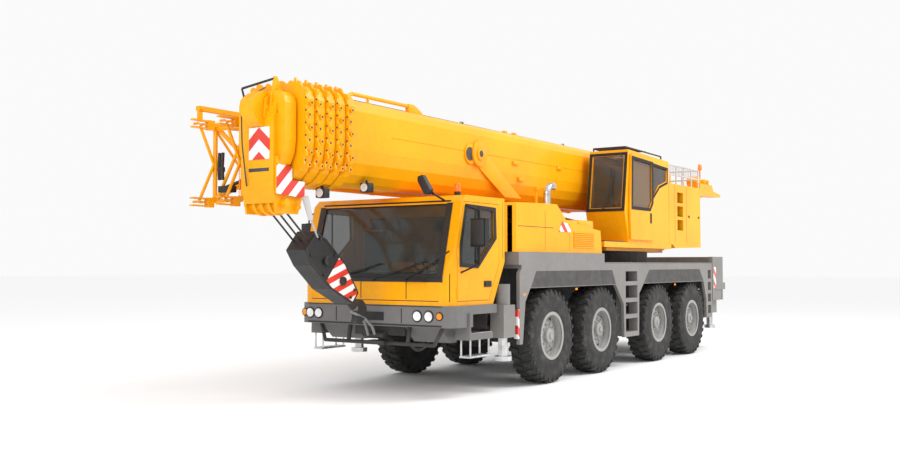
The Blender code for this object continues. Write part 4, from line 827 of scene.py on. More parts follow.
floor_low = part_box("cab_interior")[0][2]
for name, x in (("driver", 0.62), ("passenger", -0.62)):
    seat_pad(f"{name}_seat_cushion", at(x - 0.225, -2.0, 1.50), at(x + 0.225, -1.56, 1.635), "carrier")
    seat_pad(f"{name}_seat_back", at(x - 0.225, -1.63, 1.60), at(x + 0.225, -1.505, 2.20), "carrier")
    seat_pad(f"{name}_head_rest", at(x - 0.13, -1.61, 2.21), at(x + 0.13, -1.515, 2.38), "carrier")
furniture = bmesh.new()
block(furniture, at(-1.10, -2.38, floor_low), at(1.10, -1.50, floor_low + 0.03))
for x in (-0.62, 0.62):
    block(furniture, at(x - 0.17, -1.95, floor_low + 0.03), at(x + 0.17, -1.60, 1.50))
    block(furniture, at(x - 0.24, -1.62, 1.44), at(x + 0.24, -1.51, 1.52))
dash = [(-2.38, floor_low + 0.03), (-2.385, 1.56), (-2.20, 1.62), (-2.08, 1.50), (-2.10, floor_low + 0.03)]
plate(furniture, [at(-1.05, y, z) for y, z in dash], (2.10, 0, 0))
block(furniture, at(0.40, -2.12, 1.52), at(0.86, -2.06, 1.58))
furnishing = finish_shape(
    furniture, "cab_furniture", moulded("dash_moulding", (0.03, 0.03, 0.032), 0.65), slot="seat_cloth",
    bevel=0.012, smooth=True
)
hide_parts("cab_interior")
wheel_shape = bmesh.new()
tube = [(0.013 * math.cos(a * math.tau / 8), 0.013 * math.sin(a * math.tau / 8)) for a in range(8)]
ring = [wheel_shape.verts.new((0.20 + across, 0, up)) for across, up in tube]
rim_edges = [wheel_shape.edges.new((ring[i - 1], ring[i])) for i in range(8)]
spun(wheel_shape, ring + rim_edges, 36, (0, 0, 1))
for turn in (0.5, 2.6, 4.71):
    bar(wheel_shape, (0, 0, -0.03), (math.cos(turn) * 0.19, math.sin(turn) * 0.19, 0), 0.012, 6)
bar(wheel_shape, (0, 0, -0.16), (0, 0, 0.0), 0.035, 12)
tip = Matrix.Translation(at(0.62, -2.04, 1.66)) @ Matrix.Rotation(math.radians(-28), 4, "X")
bmesh.ops.transform(wheel_shape, matrix=tip, verts=wheel_shape.verts[:])
finish_shape(wheel_shape, "steering_wheel", black, smooth=True)


# Engine housing
# Folded sheet lids over the engine, sprayed with the cab, standing on a grey band. Louvres, a
# raised box and a bright exhaust elbow break its long side.

dress("engine_cover", yellow)
seams = bmesh.new()
for side in (1, -1):
    for y, top in ((-0.15, 2.50), (0.62, 2.28)):
        block(seams, at(side * 1.3295, y, 1.93), at(side * 1.3312, y + 0.008, top))
    block(seams, at(side * 1.3295, -0.93, 2.245), at(side * 1.3312, 0.10, 2.253))
finish_shape(seams, "engine_lid_gaps", black)

band_plinth = bmesh.new()
for side in (1, -1):
    block(band_plinth, at(side * 1.331, -0.975, 1.748), at(side * 1.338, 1.735, 1.887))
finish_shape(band_plinth, "plinth_band", light_grey, bevel=0.002)

louvres = bmesh.new()
for i in range(9):
    z = 1.98 + i * 0.028
    for side in (1, -1):
        vane = block(louvres, at(side * 1.330, 0.75, z), at(side * 1.344, 1.45, z + 0.012))
        for vert in vane:
            if abs(vert.co.x) > 1.34:
                vert.co.z -= 0.010
finish_shape(louvres, "engine_louvres", yellow)

raised = bmesh.new()
block(raised, at(0.86, 0.46, 2.20), at(1.30, 0.96, 2.385))
block(raised, at(0.86, 0.98, 2.26), at(1.30, 1.50, 2.40))
block(raised, at(0.30, 0.30, 2.36), at(0.75, 1.30, 2.43))
finish_shape(raised, "engine_boxes", yellow, bevel=0.02, smooth=True)
cover_board = bmesh.new()
plate(
    cover_board, [at(1.331, 0.27, 2.20), at(1.331, 0.66, 2.20), at(1.331, 0.60, 2.32), at(1.331, 0.38, 2.35)],
    (0.004, 0, 0)
)
finish_shape(cover_board, "engine_warning_panel", warning_side)

exhaust = bmesh.new()
bar(exhaust, at(1.00, 0.52, 2.30), at(1.00, 0.52, 2.78), 0.055, 24)
turn = [
    at(1.00, 0.52 + 0.13 * (1 - math.cos(a)), 2.78 + 0.13 * math.sin(a)) for a in [
        i * math.pi / 2 / 6 for i in range(7)
    ]
]
bent_bar(exhaust, turn + [at(1.00, 0.72, 2.915)], 0.055, 18)
bar(exhaust, at(1.00, 0.52, 2.33), at(1.00, 0.52, 2.42), 0.075, 24)
finish_shape(exhaust, "exhaust_outlet", steel, smooth=True)
post = bmesh.new()
bar(post, at(0.84, 0.48, 2.36), at(0.84, 0.48, 2.86), 0.022, 12)
block(post, at(0.80, 0.44, 2.84), at(0.88, 0.52, 2.90))
finish_shape(post, "intake_post", yellow, bevel=0.004, smooth=True)


# Upper works
# Slewing platform, operator's cab and the service housing, all in the same yellow. The cab is glazed
# on every side, carries tube rails on its roof, and its door runs back along the outer face.

for node in ("slewing_frame", "operator_cab", "operator_door", "side_housing"):
    dress(node, yellow)
dress("hoist_winch", steel)
cab_glazing = bmesh.new()
plate(
    cab_glazing,
    [
        at(0.61, 2.915 - 0.165, 2.66), at(1.24, 2.915 - 0.165, 2.66), at(1.24, 2.895, 3.60),
        at(0.61, 2.895, 3.60)
    ],
    (0, 0.006, 0)
)
plate(
    cab_glazing,
    [
        at(0.575, 2.96, 2.66), at(0.575, 3.82, 2.66), at(0.575, 4.28, 3.14), at(0.575, 4.64, 3.24),
        at(0.575, 4.64, 3.52), at(0.575, 2.96, 3.58)
    ],
    (0.005, 0, 0)
)
plate(
    cab_glazing,
    [
        at(1.262, 3.96, 2.88), at(1.262, 4.27, 3.14), at(1.262, 4.64, 3.24), at(1.262, 4.66, 3.52),
        at(1.262, 3.96, 3.56)
    ],
    (-0.005, 0, 0)
)
block(cab_glazing, at(0.63, 3.02, 3.655), at(1.21, 3.84, 3.661))
finish_shape(cab_glazing, "operator_cab_panes", glass, "upperworks")
door_pane = bmesh.new()
plate(
    door_pane,
    [
        at(1.300, 2.95, 2.68), at(1.300, 3.73, 2.68), at(1.300, 3.86, 2.82), at(1.300, 3.86, 3.52),
        at(1.300, 2.98, 3.55)
    ],
    (0.005, 0, 0)
)
finish_shape(door_pane, "operator_door_pane", glass, "sliding_door")
door_seal = bmesh.new()
gasket(
    door_seal,
    [
        at(1.3215, 2.93, 2.655), at(1.3215, 3.75, 2.655), at(1.3215, 3.885, 2.80), at(1.3215, 3.885, 3.54),
        at(1.3215, 2.955, 3.575)
    ],
    0.055, (0.006, 0, 0)
)
finish_shape(door_seal, "operator_door_gasket", rubber, "sliding_door")
door_grip = bmesh.new()
block(door_grip, at(1.321, 3.74, 2.44), at(1.334, 3.80, 2.62))
finish_shape(door_grip, "operator_door_grip", black, "sliding_door", bevel=0.006)
rear_seal = bmesh.new()
gasket(
    rear_seal,
    [
        at(1.2805, 3.93, 2.84), at(1.2805, 4.29, 3.10), at(1.2805, 4.675, 3.205), at(1.2805, 4.69, 3.50),
        at(1.2805, 3.93, 3.535)
    ],
    0.045, (0.0025, 0, 0)
)
gasket(
    rear_seal,
    [
        at(0.57, 2.905 - 0.172, 2.62), at(1.275, 2.905 - 0.172, 2.62), at(1.275, 2.895, 3.635),
        at(0.57, 2.895, 3.635)
    ],
    0.05, (0, -0.010, 0)
)
finish_shape(rear_seal, "operator_cab_gaskets", rubber, "upperworks")

roof_rails = bmesh.new()
for x in (0.62, 1.22):
    bent_bar(roof_rails, [at(x, 2.93, 3.66), at(x, 2.93, 3.73), at(x, 4.5, 3.70), at(x, 4.5, 3.62)], 0.014)
for i in range(7):
    y = 3.0 + i * 0.13
    bar(roof_rails, at(0.62, y, 3.728), at(1.22, y, 3.728), 0.009, 6)
bar(roof_rails, at(0.62, 2.93, 3.73), at(1.22, 2.93, 3.73), 0.014, 8)
finish_shape(roof_rails, "roof_guard", black, "upperworks", smooth=True)

wiper = bmesh.new()
bar(wiper, at(0.90, 2.72, 2.66), at(0.90, 2.695, 2.66), 0.022, 10)
bar(wiper, at(0.90, 2.70, 2.66), at(1.02, 2.745, 3.10), 0.008, 6)
bar(wiper, at(1.02, 2.735, 2.85), at(1.02, 2.79, 3.35), 0.010, 6)
finish_shape(wiper, "operator_wiper", black, "upperworks")

mount_plate = bmesh.new()
block(mount_plate, at(0.52, 1.95, 2.091), at(1.27, 2.78, 2.103))
for i in range(12):
    y = 1.97 + i * 0.066
    block(mount_plate, at(0.54, y, 2.102), at(1.25, y + 0.030, 2.108))
finish_shape(mount_plate, "platform_tread", charcoal, "upperworks")

steps_back = bmesh.new()
for z in (2.36, 2.62, 2.88):
    block(steps_back, at(1.142, 5.155, z + 0.005), at(1.148, 5.445, z + 0.195))
    block(steps_back, at(1.148, 5.155, z + 0.003), at(1.272, 5.445, z + 0.010))
finish_shape(steps_back, "step_pockets", charcoal, "upperworks", "frame_grey")

housing_lines = bmesh.new()
block(housing_lines, at(1.2802, 5.02, 2.12), at(1.2815, 5.03, 3.20))
block(housing_lines, at(1.2802, 5.62, 2.12), at(1.2815, 5.63, 3.20))
for y in (5.72, 6.25):
    block(housing_lines, at(1.2805, y, 2.62), at(1.290, y + 0.06, 2.66))
finish_shape(housing_lines, "housing_gaps", black, "upperworks")

railing = bmesh.new()
for z in (3.40, 3.58):
    bent_bar(railing, [at(1.26, 4.76, z), at(1.26, 6.34, z), at(0.58, 6.34, z)], 0.014)
for y in (4.76, 5.15, 5.54, 5.95, 6.34):
    bar(railing, at(1.26, y, 3.23), at(1.26, y, 3.58), 0.014, 8)
for x in (0.58, 0.92):
    bar(railing, at(x, 6.34, 3.23), at(x, 6.34, 3.58), 0.014, 8)
for i in range(20):
    y = 4.80 + i * 0.078
    bar(railing, at(1.262, y, 3.40), at(1.262, y, 3.58), 0.006, 5)
finish_shape(railing, "housing_railing", light_grey, "upperworks", smooth=True)

rear_gear = bmesh.new()
for side in (1, -1):
    bar(rear_gear, at(side * 0.98, 6.55, 3.38), at(side * 1.20, 6.55, 3.38), 0.12, 20)
    for y in (6.75, 6.95):
        block(rear_gear, at(side * 1.02, y, 3.33), at(side * 1.25, y + 0.05, 3.44))
    bar(rear_gear, at(side * 1.10, 7.52, 3.17), at(side * 1.10, 7.52, 3.24), 0.035, 12)
finish_shape(rear_gear, "rear_arm_gear", yellow, "upperworks", bevel=0.006, smooth=True)
rear_beacon = bmesh.new()
bar(rear_beacon, at(1.12, 6.83, 3.44), at(1.12, 6.83, 3.66), 0.014, 8)
bar(rear_beacon, at(1.12, 6.83, 3.64), at(1.12, 6.83, 3.76), 0.045, 18, 0.034)
finish_shape(rear_beacon, "rear_beacon", beacon_finish, "upperworks", bevel=0.006, smooth=True)

seat_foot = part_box("operator_seat")[0][2]
operator_cushion = seat_pad(
    "operator_seat_cushion", at(0.70, 3.53, 2.46), at(1.14, 4.02, 2.60), "upperworks"
)
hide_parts("operator_seat")
seat_pad("operator_seat_back", at(0.70, 4.005, 2.56), at(1.14, 4.13, 3.20), "upperworks")
seat_pad("operator_head_rest", at(0.79, 4.025, 3.21), at(1.05, 4.115, 3.41), "upperworks")
frame_work = bmesh.new()
block(frame_work, at(0.76, 3.62, seat_foot), at(1.08, 4.0, 2.47))
for x in (0.64, 1.15):
    block(frame_work, at(x, 3.50, 2.66), at(x + 0.05, 3.98, 2.78))
    block(frame_work, at(x + 0.01, 3.80, 2.45), at(x + 0.04, 3.92, 2.68))
    bar(frame_work, at(x + 0.025, 3.54, 2.77), at(x + 0.025, 3.53, 2.88), 0.016, 10)
block(frame_work, at(0.66, 3.6, 2.43), at(1.19, 4.02, 2.47))
finish_shape(frame_work, "operator_seat_frame", black, "upperworks", "seat_cloth", bevel=0.008, smooth=True)

dress("luffing_barrel", yellow)
dress("luffing_rod", steel)
ports = bmesh.new()
line = (at(0, 1.00, 2.56) - at(0, 4.80, 2.26)).normalized()
foot = at(0, 4.80, 2.26)
for reach, radius in ((3.36, 0.162), (0.30, 0.165)):
    bar(ports, foot + line * (reach - 0.05), foot + line * (reach + 0.03), radius, 32)
finish_shape(ports, "cylinder_glands", yellow, "luffing_cylinder", bevel=0.006, smooth=True)


# Winch rope
# Steel hoist rope laid on the drum in close turns.

def wire(name):
    made, tree, shader, place = finish_nodes(name, 0.45, metallic=0.8)
    lay = tree.nodes.new("ShaderNodeTexWave")
    lay.bands_direction = "DIAGONAL"
    lay.inputs["Scale"].default_value = 60.0
    tree.links.new(place, lay.inputs["Vector"])
    tone = ramp(tree, lay.outputs["Fac"], [(0.2, (0.02, 0.02, 0.02)), (0.8, (0.13, 0.125, 0.12))])
    tree.links.new(tone, shader.inputs["Base Color"])
    bump(tree, shader, lay.outputs["Fac"], 0.4, 0.001)
    return made


rope_wire = wire("rope_wire")
drum = bmesh.new()
for i in range(26):
    ring = bmesh.ops.create_circle(drum, segments=8, radius=0.014)["verts"]
    bmesh.ops.translate(drum, vec=(0, 0, 0.184), verts=ring)
    edges = {e for v in ring for e in v.link_edges}
    bmesh.ops.rotate(drum, cent=(0, 0, 0.184), matrix=Matrix.Rotation(math.pi / 2, 3, "X"), verts=ring)
    bmesh.ops.translate(drum, vec=(-0.35 + i * 0.028, 0, 0), verts=ring)
    spun(drum, list(ring) + list(edges), 28)
bmesh.ops.translate(drum, vec=at(0, 5.95, 2.38), verts=drum.verts[:])
finish_shape(drum, "drum_rope", rope_wire, "winch", smooth=True)


# Telescopic boom
# Base and five nested plate sections. The first five of the six end in a heavy collar with a lobed
# ring plate, nodules and holes. A hose bar runs along the top near the collars, and a round boss on
# each side carries the cylinder load.

for node in (
    "boom_base", "cylinder_lugs", "telescope_1", "telescope_2", "telescope_3", "telescope_4", "telescope_5",
    "head_sheaves"
):
    dress(node, yellow)
bodies = ["boom"] + [f"boom_section_{i}" for i in range(1, 6)]


def collar_points(half, low, high, count):
    """Evenly spaced points round a collar's section: a U below and small round corners above."""
    flat, corner, shoulder = 0.25 * half, 0.38 * half, low + 0.40 * (high - low)
    turns = [i * math.pi / 32 for i in range(17)]
    right = [(flat + (half - flat) * math.sin(a), shoulder - (shoulder - low) * math.cos(a)) for a in turns]
    right += [(half - corner + corner * math.cos(a), high - corner + corner * math.sin(a)) for a in turns]
    loop = [Vector(spot) for spot in right + [(-x, z) for x, z in reversed(right)]]
    lengths = [(loop[(i + 1) % len(loop)] - loop[i]).length for i in range(len(loop))]
    found = []
    for step in range(count):
        left = sum(lengths) * step / count
        i = 0
        while left > lengths[i]:
            left -= lengths[i]
            i += 1
        found.append(loop[i].lerp(loop[(i + 1) % len(loop)], left / max(lengths[i], 1e-6)))
    return found


def scalloped_ring(shape, spots, front, back, reach):
    """A ring plate round the collar whose outer edge rises in lobes, and stays low on the underside."""
    rows = []
    middle = Vector((0.0, 3.2))
    for i, spot in enumerate(spots):
        out = (spots[(i + 1) % len(spots)] - spots[i - 1]).normalized()
        out = Vector((out.y, -out.x))
        if out.dot(spot - middle) < 0:
            out = -out
        lift = 0.004 if spot.y < 2.80 else reach if i % 4 < 2 else reach * 0.35
        inner, outer = spot - out * 0.012, spot + out * lift
        rows.append(
            [
                shape.verts.new(at(p.x, y, p.y)) for p,
                y in ((inner, front), (outer, front), (outer, back), (inner, back))
            ]
        )
    close_ring(shape, rows)


COLLAR_FRONT, COLLAR_PITCH = -3.58, 0.178
COLLAR_HALF, COLLAR_LOW, COLLAR_HIGH = 0.485, 2.646, 3.824
COLLAR_SHRINK = 0.0042
for i in range(5):
    lugs = bmesh.new()
    holes = bmesh.new()
    front = COLLAR_FRONT - COLLAR_PITCH * i
    half = COLLAR_HALF - COLLAR_SHRINK * i
    spots = collar_points(half, COLLAR_LOW + COLLAR_SHRINK * i, COLLAR_HIGH - COLLAR_SHRINK * i, 120)
    scalloped_ring(lugs, spots, front + 0.004, front + 0.034, 0.048)
    for side in (1, -1):
        for row in range(6):
            z = 2.86 + 0.145 * row
            y = front + (0.060 if row % 2 == i % 2 else 0.095)
            bar(lugs, at(side * (half - 0.02), y, z), at(side * (half + 0.026), y, z), 0.030, 14)
            bar(holes, at(side * (half + 0.02), y, z), at(side * (half + 0.0275), y, z), 0.016, 12)
            bar(
                holes, at(side * (half + 0.012), front + 0.003, z + 0.05),
                at(side * (half + 0.012), front + 0.006, z + 0.05), 0.013, 10
            )
    for x in (-0.30, 0.30):
        horn = [
            at(x - 0.03, front + 0.01, 3.80), at(x + 0.03, front + 0.01, 3.80),
            at(x + 0.012, front + 0.01, 3.885), at(x - 0.012, front + 0.01, 3.885)
        ]
        plate(lugs, horn, (0, 0.03, 0))
    finish_shape(lugs, f"collar_rings_{i}", yellow, bodies[i], bevel=0.003)
    finish_shape(holes, f"collar_holes_{i}", charcoal, bodies[i])

hose_bar = bmesh.new()
bent_bar(hose_bar, [at(0.27, -3.36, 3.78), at(0.27, -3.22, 3.85), at(0.27, -1.95, 3.85)], 0.026, 10)
for y in (-2.9, -2.0):
    bar(hose_bar, at(0.27, y, 3.74), at(0.27, y, 3.85), 0.02, 8)
ramp_end = [
    at(0.24, -2.06, 3.74), at(0.24, -1.70, 3.74), at(0.24, -1.76, 3.80), at(0.24, -1.94, 3.88),
    at(0.24, -2.06, 3.88)
]
plate(hose_bar, ramp_end, (0.06, 0, 0))
block(hose_bar, at(-0.06, 0.80, 3.75), at(0.06, 1.34, 3.82))
block(hose_bar, at(-0.03, 0.90, 3.81), at(0.03, 0.98, 3.87))
block(hose_bar, at(-0.03, 1.2, 3.81), at(0.03, 1.28, 3.87))
finish_shape(hose_bar, "boom_top_bracket", yellow, "boom", bevel=0.004, smooth=True)

boss = bmesh.new()
for side in (1, -1):
    bar(boss, at(side * 0.40, -0.55, 3.33), at(side * 0.485, -0.55, 3.33), 0.19, 36)
    bar(boss, at(side * 0.48, -0.55, 3.33), at(side * 0.502, -0.55, 3.33), 0.10, 24)
    bar(boss, at(side * 0.42, -0.75, 3.31), at(side * 0.455, -0.75, 3.31), 0.15, 28)
    for y, z in ((0.45, 3.26), (0.62, 3.02), (1.9, 3.30)):
        block(boss, at(side * 0.42, y, z), at(side * 0.462, y + 0.16, z + 0.06))
    brace = [
        at(side * 0.428, -0.66, 3.20), at(side * 0.428, -0.36, 3.38), at(side * 0.428, 0.05, 3.12),
        at(side * 0.428, 0.72, 2.74), at(side * 0.428, 0.20, 2.74)
    ]
    plate(boss, brace, (side * 0.02, 0, 0))
finish_shape(boss, "boom_side_boss", yellow, "boom", bevel=0.006, smooth=True)
boss_bore_and_painted_shade = bmesh.new()
for side in (1, -1):
    bar(boss_bore_and_painted_shade, at(side * 0.499, -0.55, 3.33), at(side * 0.5035, -0.55, 3.33), 0.05, 20)
    # The offset disc is painted shade: the main boss hides its rear, so it shows as a dark crescent on the
    # boss's front side. The small disc on the hub is the bore.
    bar(boss_bore_and_painted_shade, at(side * 0.44, -0.79, 3.31), at(side * 0.458, -0.79, 3.31), 0.10, 24)
finish_shape(boss_bore_and_painted_shade, "boss_bore_and_painted_shade", charcoal, "boom")

welds = bmesh.new()
for side in (1, -1):
    bar(welds, at(side * 0.432, -2.6, 3.35), at(side * 0.432, 6.9, 3.35), 0.005, 6)
    for y in (1.9, 4.2):
        block(welds, at(side * 0.4295, y, 2.9), at(side * 0.4315, y + 0.012, 3.55))
finish_shape(welds, "boom_weld_seams", yellow, "boom")

work_lamps = bmesh.new()
lamp_faces = bmesh.new()
for x, y, z in ((0.36, -3.03, 2.72), (0.20, -3.68, 2.62)):
    block(work_lamps, at(x - 0.07, y - 0.05, z - 0.10), at(x + 0.07, y + 0.06, z + 0.02))
    bar(work_lamps, at(x, y, z), at(x, y, z + 0.06), 0.014, 8)
    bar(lamp_faces, at(x, y - 0.05, z - 0.04), at(x, y - 0.058, z - 0.04), 0.052, 24)
finish_shape(work_lamps, "boom_work_lamps", black, "boom", bevel=0.012, smooth=True)
finish_shape(
    lamp_faces, "boom_lamp_faces", moulded("work_lamp_lens", (0.80, 0.82, 0.83), 0.12, 90.0, 0.25), "boom",
    "bright_steel"
)


# Boom head
# Cheek plates with the lower sheaves between them and a guide pulley on top. The front face carries a
# board of red and white chevrons, and its left cheek a slanting barred board.

def chevron_slant(tree, x, y, z):
    """Bars that fall away on both sides of the board's middle."""
    away = reckon(tree, "ABSOLUTE", reckon(tree, "SUBTRACT", x, 0.03))
    return reckon(tree, "ADD", reckon(tree, "SUBTRACT", z, 3.15), reckon(tree, "MULTIPLY", away, 0.85))


head_board = bmesh.new()
block(head_board, at(-0.13, -4.582, 2.92), at(0.19, -4.568, 3.29))
finish_shape(
    head_board, "head_chevron_board", reflective("head_chevrons", 0.36, 0.28, chevron_slant),
    "boom_section_5", "crane_yellow", bevel=0.002
)
cheek_board = bmesh.new()
backing = bmesh.new()
for side in (1, -1):
    spots = [(-4.56, 2.86), (-4.31, 2.84), (-4.31, 2.69), (-4.10, 2.68), (-4.10, 2.49), (-4.56, 2.52)]
    plate(cheek_board, [at(side * 0.2905, y, z) for y, z in spots], (side * 0.008, 0, 0))
    plate(
        backing,
        [at(side * 0.250, y, z) for y, z in ((-4.55, 2.64), (-4.12, 2.64), (-4.12, 2.50), (-4.55, 2.53))],
        (side * 0.04, 0, 0)
    )
    bar(backing, at(side * 0.24, -4.42, 2.42), at(side * 0.33, -4.42, 2.42), 0.045, 16)
    bar(backing, at(side * 0.24, -4.20, 2.38), at(side * 0.31, -4.20, 2.38), 0.03, 12)
finish_shape(backing, "cheek_pads", yellow, "boom_section_5", bevel=0.003)
finish_shape(
    cheek_board, "cheek_barred_board", barred("cheek_bars", 0.26, -1.0), "boom_section_5", "crane_yellow"
)

head_slots = bmesh.new()
block(head_slots, at(-0.14, -4.573, 2.78), at(0.18, -4.566, 2.82))
for side in (1, -1):
    for y, z in ((-4.47, 3.10), (-4.45, 3.30), (-4.48, 3.46)):
        bar(head_slots, at(side * 0.2502, y, z), at(side * 0.2545, y, z), 0.035, 16)
finish_shape(head_slots, "head_pin_holes", charcoal, "boom_section_5")

PULLEY_Y, PULLEY_Z = -4.55, 3.52
pulley = bmesh.new()
groove = [
    (-0.034, 0.0), (-0.034, 0.19), (-0.026, 0.195), (-0.010, 0.160), (0.010, 0.160), (0.026, 0.195),
    (0.034, 0.19), (0.034, 0.0)
]
turned(pulley, groove, 40)
for step in range(6):
    angle = step * math.tau / 6
    for side in (1, -1):
        spot = Vector((side * 0.0335, math.sin(angle) * 0.11, math.cos(angle) * 0.11))
        bar(pulley, spot, spot + Vector((side * 0.005, 0, 0)), 0.03, 12)
bmesh.ops.translate(pulley, vec=at(0.0, PULLEY_Y, PULLEY_Z), verts=pulley.verts[:])
finish_shape(pulley, "head_top_pulley", yellow, "boom_section_5", smooth=True)
brackets = bmesh.new()
for x in (-0.13, 0.105):
    plate(
        brackets,
        [at(x, -4.60, 3.40), at(x, -4.40, 3.30), at(x, -4.34, 3.60), at(x, -4.46, 3.70), at(x, -4.58, 3.62)],
        (0.025, 0, 0)
    )
bar(brackets, at(-0.14, PULLEY_Y, PULLEY_Z), at(0.14, PULLEY_Y, PULLEY_Z), 0.028, 12)
for x in (-0.22, 0.20):
    plate(
        brackets, [at(x, -4.54, 3.45), at(x, -4.34, 3.45), at(x, -4.34, 3.72), at(x, -4.46, 3.74)],
        (0.02, 0, 0)
    )
finish_shape(brackets, "head_top_brackets", yellow, "boom_section_5", bevel=0.003)
arm = bmesh.new()
tip = [(-4.54, 3.35), (-4.34, 3.35), (-4.34, 3.66), (-4.44, 3.885), (-4.48, 3.885), (-4.54, 3.58)]
plate(arm, [at(0.15, y, z) for y, z in tip], (0.03, 0, 0))
finish_shape(arm, "head_pulley_arm", yellow, "boom_section_5", bevel=0.003)
guard = bmesh.new()
bar(guard, at(-0.15, -4.68, 3.74), at(0.165, -4.47, 3.86), 0.014, 10)
bar(guard, at(-0.15, -4.68, 3.74), at(-0.12, -4.66, 3.60), 0.012, 8)
finish_shape(guard, "head_rope_guard", black, "boom_section_5", smooth=True)
top_rope = bmesh.new()
arc = [
    at(-0.112, PULLEY_Y - 0.175 * math.sin(a), PULLEY_Z + 0.175 * math.cos(a)) for a in [
        i * math.pi / 8 for i in range(5)
    ]
]
bent_bar(top_rope, [at(-0.112, -4.34, 3.80)] + arc + [at(-0.16, -4.66, 3.10), at(-0.16, -4.585, 2.62)], 0.008)
finish_shape(top_rope, "head_rope", rope_wire, "boom_section_5", smooth=True)
base_rope = bmesh.new()
bent_bar(base_rope, [at(0.10, -3.36, 3.812), at(0.10, 6.60, 3.80), at(0.10, 6.98, 3.62)], 0.011)
finish_shape(base_rope, "boom_rope", rope_wire, "boom", smooth=True)
rope_rollers = bmesh.new()
for y in (-3.30, -0.6, 2.6, 5.2):
    bar(rope_rollers, at(-0.16, y, 3.79), at(0.20, y, 3.79), 0.02, 12)
    for x in (-0.16, 0.19):
        block(rope_rollers, at(x - 0.01, y - 0.04, 3.74), at(x + 0.01, y + 0.04, 3.82))
finish_shape(rope_rollers, "rope_rollers", steel, "boom", smooth=True)


# Folding jib
# Welded tube lattice pinned along the boom's right side. Its front forks carry loose pins, a hose
# and a small black reel.

dress("folding_jib", yellow)
joints_shape = bmesh.new()
for x in (-0.68, -1.14):
    for z in (2.80, 3.47):
        for i in range(8):
            y = -3.60 + i * (8.95 / 7)
            bar(joints_shape, at(x, y - 0.05, z), at(x, y + 0.05, z), 0.044, 12)
    for z in (3.44, 2.48):
        for y in (-4.48, -4.38):
            bar(joints_shape, at(x - 0.045, y, z), at(x + 0.045, y, z), 0.016, 10)
finish_shape(joints_shape, "jib_node_sleeves", yellow, "boom", bevel=0.004, smooth=True)
link = bmesh.new()
for x in (-1.16, -1.11):
    block(link, at(x - 0.008, -4.465, 3.60), at(x + 0.008, -3.70, 3.66))
for y in (-4.43, -3.75):
    block(link, at(-1.155, y - 0.03, 3.47), at(-1.115, y + 0.03, 3.66))
    bar(link, at(-1.19, y, 3.63), at(-1.08, y, 3.63), 0.02, 12)
for x in (-0.68, -1.14):
    bar(link, at(x, -4.42, 3.42), at(x, -4.19, 2.96), 0.02, 8)
    bar(link, at(x, -4.42, 2.50), at(x, -4.19, 2.96), 0.02, 8)
bar(link, at(-1.12, -4.15, 3.42), at(-0.70, -3.90, 2.90), 0.03, 10)
bar(link, at(-1.12, -4.15, 2.52), at(-0.70, -4.16, 3.20), 0.022, 8)
finish_shape(link, "jib_link_bar", yellow, "boom", bevel=0.003)
jib_gear = bmesh.new()
for x in (-0.99, -1.05):
    bent_bar(jib_gear, [at(x, -4.18, 3.10), at(x, -4.19, 2.92), at(x, -4.18, 2.76)], 0.021, 10)
block(jib_gear, at(-1.07, -4.20, 2.86), at(-0.97, -4.16, 2.92))
block(jib_gear, at(-1.00, -4.25, 2.60), at(-0.80, -4.13, 2.68))
bar(jib_gear, at(-1.02, -4.20, 2.64), at(-0.72, -4.12, 2.74), 0.022, 12)
finish_shape(jib_gear, "jib_hose_reel", black, "boom", bevel=0.004, smooth=True)


# Hook block, hook and lashing
# Cast cheeks painted black with barred lower plates. Short slings lash the hook to the bumper while
# the machine is on the road.

dress("hook_block", moulded("block_black_paint", (0.014, 0.014, 0.015), 0.4))
dress("crane_hook", iron)
tilt = math.radians(40.0)
ROPE_Y, ROPE_Z = -4.36, 2.44


def along_rope(distance, across=0.0, x=0.0):
    y = ROPE_Y + distance * math.cos(tilt) + across * math.sin(tilt)
    z = ROPE_Z - distance * math.sin(tilt) + across * math.cos(tilt)
    return at(x, y, z)


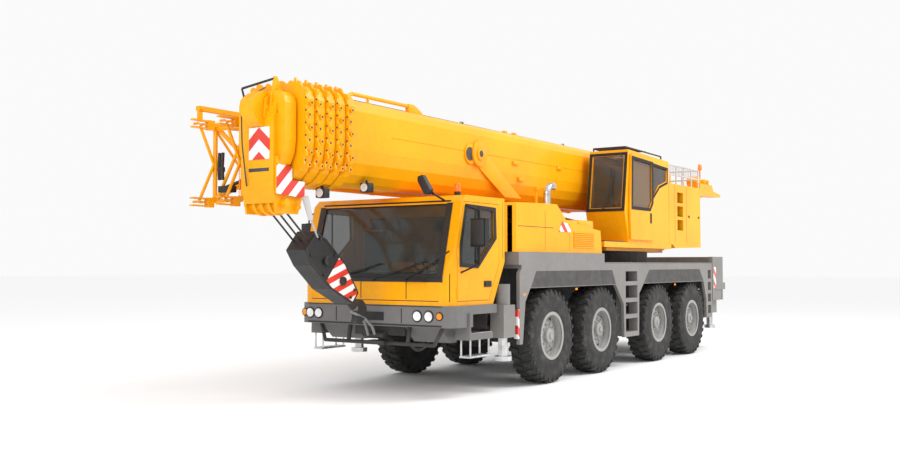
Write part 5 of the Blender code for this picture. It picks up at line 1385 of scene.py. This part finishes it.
cheeks = bmesh.new()
for side in (1, -1):
    lower = [(1.22, 0.205), (1.36, 0.20), (1.78, 0.09), (1.78, -0.09), (1.36, -0.20), (1.22, -0.205)]
    plate(cheeks, [along_rope(d, a, side * 0.151) for d, a in lower], (side * 0.006, 0, 0))
block_bars = barred("block_bars", 0.16, -0.35)
finish_shape(cheeks, "block_barred_plates", block_bars, "rope_block", "block_black")
block_work = bmesh.new()
for side in (1, -1):
    for d, a in ((1.06, 0.0), (1.45, 0.0)):
        bar(block_work, along_rope(d, a, side * 0.15), along_rope(d, a, side * 0.185), 0.055, 20)
    for d, a in ((0.80, 0.13), (0.80, -0.13), (1.14, 0.16), (1.14, -0.16), (1.70, 0.06), (1.70, -0.06)):
        bar(block_work, along_rope(d, a, side * 0.15), along_rope(d, a, side * 0.172), 0.02, 6)
    rim = [
        (0.70, 0.14), (0.91, 0.195), (1.35, 0.195), (1.78, 0.08), (1.78, -0.08), (1.35, -0.195),
        (0.91, -0.195), (0.70, -0.14)
    ]
    spots = [along_rope(d, a, side * 0.154) for d, a in rim]
    bent_bar(block_work, spots + spots[:1], 0.012, 6)
block_black = moulded("block_fittings", (0.02, 0.02, 0.02), 0.35)
finish_shape(block_work, "block_fittings", block_black, "rope_block", "block_black", bevel=0.002, smooth=True)

sling = bmesh.new()
bent_bar(
    sling,
    [along_rope(1.95, -0.10, 0.03), at(0.03, -2.66, 1.02), at(0.05, -2.52, 0.90), at(0.05, -2.47, 0.80)],
    0.018
)
bent_bar(
    sling,
    [along_rope(1.95, 0.10, -0.03), at(-0.06, -2.60, 1.05), at(-0.08, -2.50, 0.92), at(-0.08, -2.44, 0.78)],
    0.018
)
webbing = moulded("sling_webbing", (0.24, 0.24, 0.23), 0.85, 140.0, 0.4)
finish_shape(sling, "hook_lashing", webbing, "rope_block", "block_black", smooth=True)
socket = bmesh.new()
bar(socket, at(0.36, -4.16, 2.50), at(0.36, -4.06, 2.24), 0.040, 14, 0.030)
bar(socket, at(0.36, -4.06, 2.24), along_rope(0.80, 0.13, 0.12), 0.012, 8)
finish_shape(socket, "rope_end_socket", light_grey, "rope_block", "chassis_dark", smooth=True)
